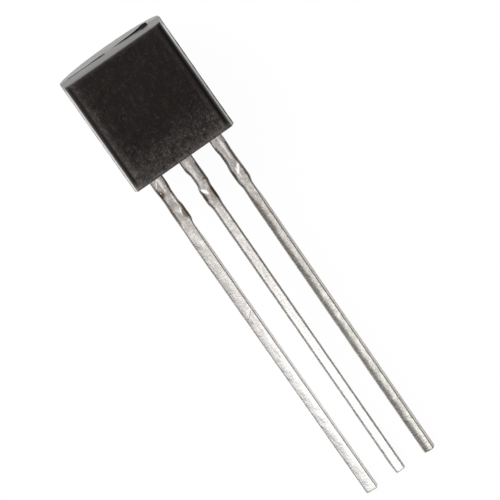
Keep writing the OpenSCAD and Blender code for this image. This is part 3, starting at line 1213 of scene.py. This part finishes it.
def package_place(graph: Graph, resting: Resting) -> Socket:
    """Finds the place on the upright package from Object coordinates.

    Args:
        graph: The material's graph.
        resting: How the package lies.

    Returns:
        The place in millimetres.
    """
    lay = resting.matrix()
    mapping = graph.add("ShaderNodeMapping", vector_type="TEXTURE")
    graph.feed(mapping.inputs["Vector"], graph.add("ShaderNodeTexCoord").outputs["Object"])
    mapping.inputs["Location"].default_value = lay.translation * MM
    mapping.inputs["Rotation"].default_value = lay.to_euler()
    mapping.inputs["Scale"].default_value = (MM, MM, MM)
    return mapping.outputs["Vector"]


@dataclass(frozen=True)
class MouldingCompound:
    """Black filled epoxy: finely eroded on the flat, smooth on the edges and the other faces.

    A fade gives the places where it starts and ends and, where these aren't 0 and 1, the values there.
    """

    body: MouldedBody
    tone: Colour = (0.0018, 0.0012, 0.001)
    # Colour of the dust, and of the painted highlight along the flat's rounded edges.
    dust_and_glint: Colour = (0.085, 0.077, 0.073)
    smooth_tone: Colour = (0.003, 0.0024, 0.0021)
    head_on_tint: Colour = (0.43, 0.365, 0.35)
    flat_roughness: float = 0.42
    edge_roughness: float = 0.34
    wall_roughness: float = 0.1
    top_roughness: float = 0.27
    broken_roughness: float = 0.85
    cloudy_roughness: float = 0.04
    ior: float = 1.5
    flat_fade: Fade = (0.04, 0.01)
    front_fade: Fade = (0.3, 0.1)
    top_fade: Fade = (-0.35, -0.2)
    smooth_band: float = 0.2
    band_blur: float = 0.06
    grain: float = 19.0
    grain_depth: float = 0.029
    smooth_grain: float = 0.03
    wear_grain: float = 9.0
    dusty_low: Fade = (1.9, 0.3)
    dusty_left: Fade = (-1.2, -1.9)
    dust_shares: tuple[float, float, float] = (0.21, 0.07, 0.02)
    dust_clouds: Fade = (0.0, 1.0, 0.65, 1.3)
    dust_grains: Fade = (0.2, 0.8, 0.3, 1.7)
    speck_shares: Pair = (1.9, 0.1)
    speck_streaks: Fade = (0.1, 0.9, 0.3, 1.6)
    # Along the rounded long edges, the bottom edge and its corners these bands are partly wear and partly
    # painted highlight of the edges' glint; the top one is wear.
    worn_and_glinting_corners: tuple[Fade, Fade] = ((-1.2, -1.9, 0.12, 0.55), (1.2, 1.9, 0.0, 0.23))
    worn_and_glinting_corner_z: Fade = (0.6, 0.25)
    worn_and_glinting_low: Fade = (0.4, 0.2, 0.0, 0.8)
    worn_top: Fade = (-0.22, -0.06, 0.0, 0.16)
    left_wear_and_glint: tuple[Fade, Fade, Fade] = ((-1.6, -1.8), (-1.95, -1.86), (4.2, 2.4, 0.12, 0.28))
    right_wear_and_glint: tuple[Fade, Fade, Fade] = ((1.68, 1.78), (1.92, 1.86), (3.0, 0.5, 0.1, 0.2))
    worn_and_glint_grains: Fade = (0.1, 0.9, 0.5, 1.3)
    stub_blur: float = 0.03
    stub_fade: Fade = (0.005, 0.02)
    scar: Pair = (0.18, 0.3)
    scar_y: float = -0.05
    scar_edge: Fade = (1.15, 0.85)
    scar_fade: Fade = (-0.1, -0.05)
    torn_line: Fade = (0.2, 1.4, 0.01, 0.11)
    torn_blur: float = 0.05
    torn_ends: tuple[Fade, Fade] = ((0.15, 0.5), (1.6, 1.5))

    def eroded(self, g: Graph, x: Socket, front: Socket) -> Socket:
        """Finds the eroded part of the flat, inside its smooth border.

        Args:
            g: The material's graph.
            x: Place across the leads.
            front: Distance behind the flat.

        Returns:
            1 on it, 0 elsewhere.
        """
        edge, blur = self.body.sizes.flat_half_w - self.smooth_band, self.band_blur
        inside = g.ramp(g.maths("ABSOLUTE", x), edge + blur, edge - blur)
        return g.times(g.ramp(front, *self.flat_fade), inside)

    def dusted(
        self, g: Graph, x: Socket, z: Socket, grains: Socket, wear: dict[str, Socket], streaks: Socket
    ) -> Socket:
        """Finds the dusting of the flat: a thin veil and specks, most of it low down and at the left.

        Args:
            g: The material's graph.
            x: Place across the leads.
            z: Height above the underside.
            grains: The finest grains.
            wear: The clouds and the coarser grains of the wear.
            streaks: Streaks in the specks.

        Returns:
            How much of the flat it covers.
        """
        low, left, all_over = self.dust_shares
        dusty = g.times(g.ramp(z, *self.dusty_low), low)
        dusty = g.plus(dusty, g.times(g.ramp(x, *self.dusty_left), left), all_over)
        cloud = g.ramp(wear["Cloud"], *self.dust_clouds, smooth=False)
        veil = g.times(dusty, cloud, g.ramp(wear["Height"], *self.dust_grains, smooth=False))
        by_dust, least = self.speck_shares
        specks = g.times(grains, g.plus(g.times(dusty, by_dust), least), g.ramp(streaks, *self.speck_streaks))
        return g.plus(veil, specks)

    def worn_and_glint(self, g: Graph, x: Socket, z: Socket, above: Socket, grains: Socket) -> Socket:
        """Finds the rubbed edges and corners of the front; along the rounded long edges, the bottom edge and
        its corners this is partly a painted highlight of their glint.

        Args:
            g: The material's graph.
            x: Place across the leads.
            z: Height above the underside.
            above: Height above the top.
            grains: The grains that break up the wear and the painted highlight.

        Returns:
            How much of the front they cover.
        """
        corners = g.plus(*(g.ramp(x, *corner) for corner in self.worn_and_glinting_corners))
        edges = [g.times(g.ramp(z, *self.worn_and_glinting_corner_z), corners), g.ramp(z, *self.worn_and_glinting_low)]
        edges.append(g.ramp(above, *self.worn_top))
        for inner, outer, along in (self.left_wear_and_glint, self.right_wear_and_glint):
            edges.append(g.times(g.ramp(x, *inner), g.ramp(x, *outer), g.ramp(z, *along)))
        return g.times(g.plus(*edges), g.ramp(grains, *self.worn_and_glint_grains, smooth=False))

    def broken(self, g: Graph, x: Socket, y: Socket, above: Socket) -> Socket:
        """Finds the rough places on the top: the gate's stub, the scar round it and the torn parting line.

        Args:
            g: The material's graph.
            x: Place across the leads.
            y: Place from the flat to the back.
            above: Height above the top.

        Returns:
            1 on them, 0 elsewhere.
        """
        from_gate = g.minus(x, self.body.gate_x)
        half_gate = self.body.gate_w / 2
        at_gate = g.ramp(g.maths("ABSOLUTE", from_gate), half_gate + self.stub_blur, half_gate)
        stub = g.times(at_gate, g.ramp(above, *self.stub_fade))
        half_w, half_d = self.scar
        away = g.join(g.times(from_gate, 1 / half_w), g.times(g.minus(y, self.scar_y), 1 / half_d))
        round_gate = g.ramp(g.vector("LENGTH", away, result="Value"), *self.scar_edge)
        line_w = g.ramp(x, *self.torn_line)
        on_line = g.ramp(g.maths("ABSOLUTE", y), g.plus(line_w, self.torn_blur), line_w)
        on_line = g.times(on_line, *(g.ramp(x, *end) for end in self.torn_ends))
        scar = g.times(g.maths("MAXIMUM", round_gate, on_line), g.ramp(above, *self.scar_fade))
        return g.maths("MAXIMUM", stub, scar)

    def build(self, texture: Texture, resting: Resting) -> bpy.types.Material:
        """Builds the material.

        Args:
            texture: The shared effects.
            resting: How the package lies.

        Returns:
            The material.
        """
        material, g, shader = new_material("black_moulding_compound")
        place = package_place(g, resting)
        x, y, z = g.split(place)
        front = g.plus(y, self.body.sizes.front_depth)
        above = g.minus(z, self.body.sizes.height)
        fine = {"Vector": place, "Grain": self.grain, "Patches": 0.8, "Share": 0.5}
        coarse = {"Vector": place, "Grain": self.wear_grain, "Patches": 1.7, "Share": 0.5}
        grains = texture.place(g, texture.speckle, fine)
        wear = texture.place(g, texture.speckle, coarse)
        drawn = {"Vector": place, "Across": 8.0, "Along": 1.6}
        streaks = texture.place(g, texture.strokes, drawn)["Strokes"]
        eroded = self.eroded(g, x, front)
        in_front = g.ramp(front, *self.front_fade)
        dusted = g.times(self.dusted(g, x, z, grains["Specks"], wear, streaks), eroded)
        # Rubbed edges, partly painted highlight where the rounded edges glint.
        worn_and_glint = g.times(self.worn_and_glint(g, x, z, above, wear["Height"]), in_front)
        cover = g.maths("MINIMUM", g.plus(dusted, worn_and_glint), 1.0)
        ground = g.tint(eroded, self.smooth_tone, self.tone)
        # The dust colour also paints the highlight along the rounded edges.
        g.feed(shader.inputs["Base Color"], g.tint(cover, ground, self.dust_and_glint))
        shader.inputs["Specular Tint"].default_value = (*self.head_on_tint, 1.0)
        broken = self.broken(g, x, y, above)
        rough: Input = self.wall_roughness
        for mask, inside in (
            (in_front, self.edge_roughness), (g.ramp(above, *self.top_fade), self.top_roughness),
            (eroded, self.flat_roughness), (broken, self.broken_roughness),
        ):
            rough = g.mix(mask, rough, inside)
        g.feed(shader.inputs["Roughness"], g.plus(rough, g.times(grains["Cloud"], self.cloudy_roughness)))
        shader.inputs["IOR"].default_value = self.ior
        rise = 1 - self.smooth_grain
        relief = g.plus(g.times(eroded, rise), g.times(broken, rise), self.smooth_grain)
        height = g.times(grains["Height"], relief)
        bump = g.add("ShaderNodeBump", {"Strength": 1.0, "Distance": self.grain_depth * MM, "Height": height})
        g.feed(shader.inputs["Normal"], bump.outputs["Normal"])
        return material


@dataclass(frozen=True)
class Spot:
    """A spot on the front of a lead's head, with its place, its half sizes and its turn in degrees."""

    across: float
    below: float
    half_w: float
    half_l: float
    tone: SpotTone
    strength: float
    turn: float = 0.0


@dataclass(frozen=True)
class LeadPlace:
    """Where a point is on a lead: across from its middle, behind the leads' plane and below the body."""

    across: Socket
    behind: Socket
    below: Socket


@dataclass(frozen=True)
class TinnedFinish:
    """Hot-dipped tin on a lead: dull and spotted at the body, stained at the sheared stub, bright below, with
    painted highlights and painted shade.

    A fade gives the places where it starts and ends and, where these aren't 0 and 1, the values there.
    """

    lead: TinnedLead
    spots: tuple[Spot, ...]
    head_tone: Colour = (0.47, 0.45, 0.435)
    shaft_tone: Colour = (0.69, 0.665, 0.645)
    tip_tone: Colour = (0.95, 0.935, 0.925)
    stain: Colour = (0.16, 0.125, 0.1)
    # Colour of the tarnish, and of the painted shade on the left and on the turned side.
    tarnish_and_shade: Colour = (0.21, 0.186, 0.166)
    stain_share: float = 0.5
    # Tarnish with painted shade on the left of the front.
    left_tarnish_and_shade: float = 0.0
    left_fade: Fade = (0.07, -0.05)
    left_wander: float = 0.5
    left_blotches: Fade = (0.0, 1.0, 0.45, 1.0)
    left_starts: Fade = (1.7, 2.6)
    left_thins: Fade = (4.0, 10.0, 1.0, 0.6)
    # Painted shade on the turned shaft's right side face.
    side_shade: float = 0.4
    side_band: Pair = (0.05, 0.01)
    side_starts: Fade = (2.0, 2.5)
    head_patches: float = 0.45
    shaft_patches: float = 0.12
    head_grains: float = 0.45
    shaft_grains: float = 0.3
    clean_tip: float = 0.3
    clean_from: Pair = (5.0, 10.0)
    front_fade: Fade = (0.02, -0.08)
    stub_blur: float = 0.2
    stub_band: Pair = (0.05, 0.005)
    tip_share: float = 0.65
    shaft_blur: float = 0.8
    next_lead: Point = (5.3, 0.0, 3.1)
    roughness: float = 0.24
    blotchy_roughness: float = 0.1
    drawn_roughness: float = -0.06
    dent_depth: float = 0.006
    drawn_relief: float = 0.25

    def locate(self, g: Graph, place: Socket) -> LeadPlace:
        """Finds where a point is on the lead, which leans to one side from its stub to its tip.

        Args:
            g: The material's graph.
            place: Place on the upright package.

        Returns:
            Its place on the lead.
        """
        s = self.lead.sizes
        x, y, z = g.split(place)
        below = g.times(z, -1.0)
        lean = g.ramp(below, s.stub_end, s.length, 0.0, self.lead.shape.lean, smooth=False)
        return LeadPlace(g.minus(g.minus(x, self.lead.place), lean), y, below)

    def tarnished_and_shaded(self, g: Graph, at: LeadPlace, tone: Socket, mottle: dict[str, Socket]) -> Socket:
        """Darkens the left of the front with tarnish and painted shade, and paints shade on the turned
        shaft's right side.

        Args:
            g: The material's graph.
            at: Place on the lead.
            tone: The tone without it.
            mottle: The blotches of the tin.

        Returns:
            The tone with it.
        """
        s, shape = self.lead.sizes, self.lead.shape
        wandering = g.plus(at.across, g.times(g.minus(mottle["Height"], 0.5), self.left_wander))
        on_left = g.times(g.ramp(wandering, *self.left_fade), self.left_tarnish_and_shade)
        uneven = g.ramp(mottle["Blotch"], *self.left_blotches)
        along = g.times(g.ramp(at.below, *self.left_starts), g.ramp(at.below, *self.left_thins))
        # Tarnish on the left, with painted shade where the twist turns it from the light.
        tone = g.tint(g.times(on_left, uneven, along), tone, self.tarnish_and_shade)
        turn = math.radians(shape.twist)
        shift = g.ramp(at.below, s.stub_end, s.length, shape.shaft_shift, 0.0, smooth=False)
        from_axis = g.times(g.minus(at.across, shift), math.cos(turn))
        to_side = g.minus(from_axis, g.times(at.behind, math.sin(turn)))
        on_side = g.ramp(to_side, *(shape.shaft_w / 2 - band for band in self.side_band))
        # Painted shade on the turned shaft's right side face.
        on_side = g.times(on_side, self.side_shade, g.ramp(at.below, *self.side_starts))
        return g.tint(on_side, tone, self.tarnish_and_shade)

    def spotted(self, g: Graph, at: LeadPlace, tone: Socket, texture: Texture) -> Socket:
        """Puts the spots on the front: stains, scratches, painted highlights and painted shade along the
        edges.

        Args:
            g: The material's graph.
            at: Place on the lead.
            tone: The tone without them.
            texture: The shared effects.

        Returns:
            The tone with them.
        """
        flat_place = g.join(at.across, at.below)
        in_front = g.ramp(at.behind, *self.front_fade)
        for spot in self.spots:
            mask = texture.place(g, texture.spot, {
                "Vector": flat_place, "Centre": (spot.across, spot.below, 0.0),
                "Turn": math.radians(spot.turn), "Size": (spot.half_w, spot.half_l, 1.0),
            })["Mask"]
            # Each spot is a stain, a scratch, a painted highlight or painted shade, as its tone says.
            tone = g.tint(g.times(mask, in_front, spot.strength), tone, spot.tone.value)
        return tone

    def sheared(self, g: Graph, at: LeadPlace) -> Socket:
        """Finds the sheared sides of the tie bar's stub.

        Args:
            g: The material's graph.
            at: Place on the lead.

        Returns:
            1 on them, 0 elsewhere.
        """
        s, shape, blur = self.lead.sizes, self.lead.shape, self.stub_blur
        from_top = g.ramp(at.below, s.stub_start - blur, s.stub_start)
        at_stub = g.times(from_top, g.ramp(at.below, s.stub_end + blur, s.stub_end))
        off_centre = g.maths("ABSOLUTE", g.minus(at.across, shape.stub_shift))
        return g.times(at_stub, g.ramp(off_centre, *(shape.stub_w / 2 - band for band in self.stub_band)))

    def build(self, texture: Texture, resting: Resting) -> bpy.types.Material:
        """Builds the material.

        Args:
            texture: The shared effects.
            resting: How the package lies.

        Returns:
            The material.
        """
        s = self.lead.sizes
        material, g, shader = new_material(self.lead.node + "_tin")
        place = package_place(g, resting)
        at = self.locate(g, place)
        own = g.vector("ADD", place, tuple(self.lead.index * step for step in self.next_lead))
        mottle = texture.place(g, texture.mottle, {"Vector": own, "Grain": 5.0, "Stretch": 0.6})
        hairs = texture.place(g, texture.strokes, {"Vector": own, "Across": 5.0, "Along": 22.0})
        streaks = texture.place(g, texture.strokes, {"Vector": own, "Across": 20.0, "Along": 3.0})
        on_shaft = g.ramp(at.below, s.stub_start, s.stub_end + self.shaft_blur)
        to_tip = g.ramp(at.below, s.stub_end, self.tip_share * s.length)
        tone = g.tint(on_shaft, self.head_tone, g.tint(to_tip, self.shaft_tone, self.tip_tone))
        drawn = g.mix(on_shaft, streaks["Strokes"], hairs["Strokes"])
        clean = g.ramp(at.below, *self.clean_from, 1.0, self.clean_tip)
        patches = g.times(mottle["Blotch"], g.mix(on_shaft, self.head_patches, self.shaft_patches), clean)
        dull = g.mix(0.5, mottle["Grains"], drawn)
        grains = g.times(dull, g.mix(on_shaft, self.head_grains, self.shaft_grains), clean)
        tone = g.tint(g.plus(patches, grains), tone, self.tarnish_and_shade)
        tone = self.tarnished_and_shaded(g, at, tone, mottle)
        tone = self.spotted(g, at, tone, texture)
        tone = g.tint(g.times(self.sheared(g, at), self.stain_share), tone, self.stain)
        g.feed(shader.inputs["Base Color"], tone)
        shader.inputs["Metallic"].default_value = 1.0
        blotchy = g.times(mottle["Blotch"], self.blotchy_roughness)
        rough = g.plus(self.roughness, blotchy, g.times(drawn, self.drawn_roughness))
        g.feed(shader.inputs["Roughness"], rough)
        height = g.plus(mottle["Height"], g.times(drawn, self.drawn_relief))
        bump = g.add("ShaderNodeBump", {"Strength": 1.0, "Distance": self.dent_depth * MM, "Height": height})
        g.feed(shader.inputs["Normal"], bump.outputs["Normal"])
        return material


@dataclass(frozen=True)
class InnerFinish:
    """The finish of a piece that the body closes round: a metal or the polished chip."""

    name: str
    tone: Colour
    second: Colour
    metallic: float
    roughness: float
    grain: float

    def build(self, texture: Texture, resting: Resting) -> bpy.types.Material:
        """Builds the material from the shared blotches.

        Args:
            texture: The shared effects.
            resting: How the package lies.

        Returns:
            The material.
        """
        material, g, shader = new_material(self.name)
        place = package_place(g, resting)
        mottle = texture.place(g, texture.mottle, {"Vector": place, "Grain": self.grain, "Stretch": 1.0})
        g.feed(shader.inputs["Base Color"], g.tint(mottle["Blotch"], self.tone, self.second))
        shader.inputs["Metallic"].default_value = self.metallic
        g.feed(shader.inputs["Roughness"], g.plus(self.roughness, g.times(mottle["Blotch"], 0.1)))
        bump = g.add("ShaderNodeBump", {"Strength": 0.6, "Distance": 0.001 * MM, "Height": mottle["Height"]})
        g.feed(shader.inputs["Normal"], bump.outputs["Normal"])
        return material


@dataclass(frozen=True)
class PhotoCamera:
    """The camera of the photograph, in millimetres."""

    aim: Point = (0.021, 0.427, 1.5)
    look: Point = (-0.0066, -0.0591, -0.9982)
    right: Point = (0.8192, -0.5728, 0.0285)
    distance: float = 165.0
    focal_pixels: float = 4559.2
    frame_pixels: float = 500.0
    sensor: float = 36.0
    clip_start: float = 0.02
    clip_end: float = 20.0

    def build(self) -> None:
        """Builds the camera at the photograph's place and angle."""
        back = -Vector(self.look).normalized()
        right = (Vector(self.right) - Vector(self.right).dot(back) * back).normalized()
        up = back.cross(right)
        data = bpy.data.cameras.new("camera")
        data.sensor_width = self.sensor
        data.lens = self.focal_pixels / self.frame_pixels * self.sensor
        data.clip_start = self.clip_start
        data.clip_end = self.clip_end
        camera = new_object("camera", data)
        turn = Matrix((right, up, back)).transposed().to_4x4()
        camera.matrix_world = Matrix.Translation((Vector(self.aim) + back * self.distance) * MM) @ turn
        bpy.context.scene.camera = camera


@dataclass(frozen=True)
class WhiteTable:
    """The white table top, in metres, which keeps a soft shadow and glows less where it is mirrored."""

    size: float = 3.0
    tone: float = 0.93
    seen_glow: float = 0.965
    mirrored_glow: float = 0.22

    def build(self) -> None:
        """Builds the table."""
        half = self.size / 2
        corners = [(-half, -half, 0), (half, -half, 0), (half, half, 0), (-half, half, 0)]
        mesh = bpy.data.meshes.new("table_top")
        mesh.from_pydata(corners, [], [(0, 1, 2, 3)])
        table = new_object("table_top", mesh)
        material, g, shader = new_material("white_table")
        shader.inputs["Base Color"].default_value = (self.tone, self.tone, self.tone, 1)
        shader.inputs["Roughness"].default_value = 1.0
        shader.inputs["Specular IOR Level"].default_value = 0.0
        ray = g.add("ShaderNodeLightPath").outputs
        mirrored = g.maths("MAXIMUM", ray["Is Glossy Ray"], ray["Is Transmission Ray"])
        seen = g.times(ray["Is Camera Ray"], self.seen_glow)
        lit = g.maths("MAXIMUM", g.times(mirrored, self.mirrored_glow), seen)
        glow = g.add("ShaderNodeEmission", {"Color": (1, 1, 1, 1), "Strength": 1.0})
        mixed = g.add("ShaderNodeMixShader", {0: lit, 1: shader.outputs["BSDF"], 2: glow.outputs["Emission"]})
        g.feed(g.tree.nodes["Material Output"].inputs["Surface"], mixed.outputs["Shader"])
        mesh.materials.append(material)


@dataclass(frozen=True)
class SoftSky:
    """A round soft light overhead with a dim middle, dark beyond it, and a broad light from one side.

    Its ends are in degrees from straight up. The light from the side is weaker where it is mirrored.
    """

    middle: float = 0.25
    ring: float = 1.7
    beyond: float = 0.22
    middle_end: Pair = (13.0, 20.0)
    ring_end: Pair = (29.0, 41.0)
    side: float = 4.6
    side_mirrored: float = 1.2
    side_from: Point = (-0.68, 0.66, 0.38)
    side_reach: Pair = (0.55, 0.98)
    tone: Colour = (1.0, 0.995, 0.985)

    def build(self) -> None:
        """Builds the sky."""
        world = bpy.data.worlds.new("soft_sky")
        world.use_nodes = True
        bpy.context.scene.world = world
        g = Graph(world.node_tree)
        g.tree.nodes.clear()
        direction = g.add("ShaderNodeTexCoord").outputs["Generated"]
        from_top = g.maths("DEGREES", g.maths("ARCCOSINE", g.split(direction)[2]))
        inner = g.ramp(from_top, *self.middle_end, self.middle, self.ring)
        strength = g.mix(g.ramp(from_top, *self.ring_end), inner, self.beyond)
        toward = tuple(Vector(self.side_from).normalized())
        aligned = g.vector("DOT_PRODUCT", direction, toward, result="Value")
        side = g.mix(g.add("ShaderNodeLightPath").outputs["Is Glossy Ray"], self.side, self.side_mirrored)
        strength = g.plus(strength, g.times(g.ramp(aligned, *self.side_reach), side))
        background = g.add("ShaderNodeBackground", {"Color": (*self.tone, 1.0), "Strength": strength})
        g.feed(g.add("ShaderNodeOutputWorld").inputs["Surface"], background.outputs["Background"])


@dataclass(frozen=True)
class Package:
    """The whole transistor: its body and its three leads."""

    body: MouldedBody
    leads: tuple[TinnedLead, TinnedLead, TinnedLead]

    @property
    def resting(self) -> Resting:
        """How the package lies on the table."""
        sizes, lead = self.body.sizes, self.leads[0].sizes
        return Resting(
            back_y=sizes.back_y, back_rise=sizes.back_rise, body_h=sizes.height, lead_length=lead.length,
            tip_r=lead.tip_r, tip_reach=max(lead.reach for lead in self.leads),
            gate_y=self.body.gate_d / 2, gate_z=sizes.height + self.body.gate_h,
        )


def new_package() -> Package:
    """Lists the package's sizes that differ from lead to lead.

    Returns:
        The package.
    """
    first = LeadShape(
        shift=-0.005, shoulder_w=0.56, neck_w=0.475, neck_shift=0.012, stub_w=0.56, stub_shift=0.01,
        shaft_w=0.465, shaft_shift=-0.015, twist=13, lean=-0.045,
    )
    middle = LeadShape(
        shift=0, shoulder_w=0.55, neck_w=0.475, neck_shift=0.04, stub_w=0.515, stub_shift=-0.022,
        shaft_w=0.425, shaft_shift=-0.005, twist=1, lean=-0.085,
    )
    last = LeadShape(
        shift=0.025, shoulder_w=0.54, neck_w=0.47, neck_shift=0.02, stub_w=0.54, stub_shift=0,
        shaft_w=0.415, shaft_shift=0, twist=16, lean=-0.095,
    )
    post = FramePlate(low=(-1.65, 2.24), high=(-0.85, 3.54), holes=((-1.25, 3.28),))
    head = FramePlate(low=(-0.45, 0.94), high=(0.45, 1.44))
    paddle = FramePlate(low=(-0.55, 1.74), high=(1.65, 3.54), holes=((1.39, 2.0), (1.39, 3.28)))
    return Package(MouldedBody(), (
        TinnedLead("emitter_lead", 0, first, post, left_r=0.08, shaft_crown=0.05, grown_left=0.025),
        TinnedLead("base_lead", 1, middle, head, right_r=0.08),
        TinnedLead("collector_lead", 2, last, paddle),
    ))


def lead_finishes(package: Package) -> tuple[TinnedFinish, ...]:
    """Lists the finish of each lead with the spots on its head: stains, scratches, painted highlights and
    painted shade.

    Args:
        package: The package.

    Returns:
        The finishes, first lead first.
    """
    # Rust and olive spots are stains, grey is a tone of the tin and thin turned dark spots are scratches;
    # dark spots along the edges are painted shade, bright ones painted highlights.
    rust, olive, grey, dark, bright = SpotTone
    first = (
        # Painted shade along the left edge and, at the body, along the right edge.
        Spot(-0.21, 0.8, 0.05, 1.0, dark, 0.5),
        Spot(0.21, 0.0, 0.08, 0.5, dark, 0.55),
        # The bright spots here and below are painted highlights of the tin's glints.
        Spot(0.04, 0.25, 0.045, 0.3, bright, 0.4),
        Spot(-0.095, 0.17, 0.025, 0.19, bright, 0.5, turn=-32),
        Spot(-0.14, 0.58, 0.1, 0.17, rust, 0.95),
        Spot(-0.148, 0.52, 0.025, 0.03, bright, 0.5),
        Spot(0.17, 0.95, 0.06, 0.25, bright, 0.5),
        Spot(0.03, 1.4, 0.07, 0.25, bright, 0.2),
        Spot(0.17, 1.6, 0.08, 0.22, rust, 0.85),
        Spot(0.09, 1.44, 0.025, 0.14, bright, 0.6, turn=-20),
        Spot(0.01, 6.03, 0.02, 0.2, dark, 0.6, turn=-43),
        Spot(-0.12, 6.35, 0.05, 0.05, dark, 0.4),
        Spot(0.0, 7.95, 0.03, 0.05, grey, 0.6),
    )
    middle = (
        # Painted shade along the left edge.
        Spot(-0.21, 0.2, 0.065, 0.4, dark, 0.5),
        Spot(-0.11, 0.8, 0.05, 0.35, bright, 0.3),
        # Painted shade along the right edge.
        Spot(0.16, 0.45, 0.12, 0.65, dark, 0.5),
        Spot(-0.05, 0.5, 0.08, 0.5, bright, 0.2),
        Spot(0.146, 0.96, 0.05, 0.06, rust, 0.9),
        Spot(-0.1, 1.39, 0.05, 0.17, bright, 0.85, turn=37),
        Spot(-0.193, 1.59, 0.065, 0.17, rust, 0.9),
        Spot(0.12, 1.59, 0.13, 0.28, olive, 0.7),
        Spot(0.18, 1.6, 0.07, 0.25, rust, 0.7),
        Spot(0.12, 2.87, 0.02, 0.1, dark, 0.7, turn=35),
    )
    last = (
        Spot(-0.12, 0.35, 0.12, 0.5, grey, 0.6),
        # Painted shade along the left edge.
        Spot(-0.19, 0.95, 0.05, 0.4, dark, 0.5),
        Spot(0.06, 0.5, 0.045, 0.5, bright, 0.3),
        # Painted shade along the right edge.
        Spot(0.2, 0.5, 0.07, 0.7, dark, 0.7),
        Spot(-0.02, 1.5, 0.05, 0.2, bright, 0.4),
        Spot(0.055, 1.36, 0.055, 0.2, bright, 0.65, turn=-35),
        Spot(-0.205, 1.55, 0.055, 0.22, rust, 0.7),
        Spot(0.2, 1.62, 0.075, 0.25, olive, 0.5),
        Spot(-0.09, 3.7, 0.03, 0.035, rust, 0.8),
        Spot(-0.09, 5.2, 0.02, 0.1, dark, 0.6, turn=20),
    )
    leads = package.leads
    return (
        TinnedFinish(leads[0], first, head_tone=(0.44, 0.41, 0.39)),
        TinnedFinish(leads[1], middle),
        TinnedFinish(
            leads[2], last, shaft_tone=(0.62, 0.6, 0.565), tip_tone=(0.86, 0.845, 0.805),
            # The left of this lead is darker: tarnish, and painted shade where its twist turns it from the
            # light.
            left_tarnish_and_shade=0.42, shaft_patches=0.3, clean_tip=1.0,
        ),
    )


def dress_inside(texture: Texture, resting: Resting) -> None:
    """Gives the pieces that the body closes round their materials.

    Args:
        texture: The shared effects.
        resting: How the package lies.
    """
    chip = InnerFinish("silicon", (0.16, 0.17, 0.19), (0.13, 0.14, 0.16), 0.2, 0.15, 8.0)
    solder = InnerFinish("chip_solder", (0.45, 0.45, 0.43), (0.3, 0.3, 0.29), 1.0, 0.4, 20.0)
    gold = InnerFinish("gold", (0.83, 0.62, 0.21), (0.74, 0.53, 0.17), 1.0, 0.2, 60.0)
    made = {finish: finish.build(texture, resting) for finish in (chip, solder, gold)}
    for node, finish in {
        "die": chip, "die_attach": solder, "emitter_bond_wire": gold, "base_bond_wire": gold,
    }.items():
        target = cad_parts[node]
        target.data.materials.clear()
        target.data.materials.append(made[finish])
        LOG.info("%s: dressed", node)


def main() -> None:
    """Builds the studio, then each piece, and logs each rebuilt piece's faces and each dressed inner piece.
    """
    logging.basicConfig(level=logging.INFO, format="%(name)s: %(message)s")
    PhotoCamera().build()
    WhiteTable().build()
    SoftSky().build()
    bpy.context.scene.view_settings.view_transform = "Standard"
    texture = Texture()
    package = new_package()
    resting = package.resting
    package.body.build(resting, MouldingCompound(package.body).build(texture, resting))
    sweep = LeadSweep(package.leads[0].values())
    for lead, finish in zip(package.leads, lead_finishes(package)):
        lead.build(sweep, resting, finish.build(texture, resting))
    dress_inside(texture, resting)


if __name__ == "__main__":
    main()
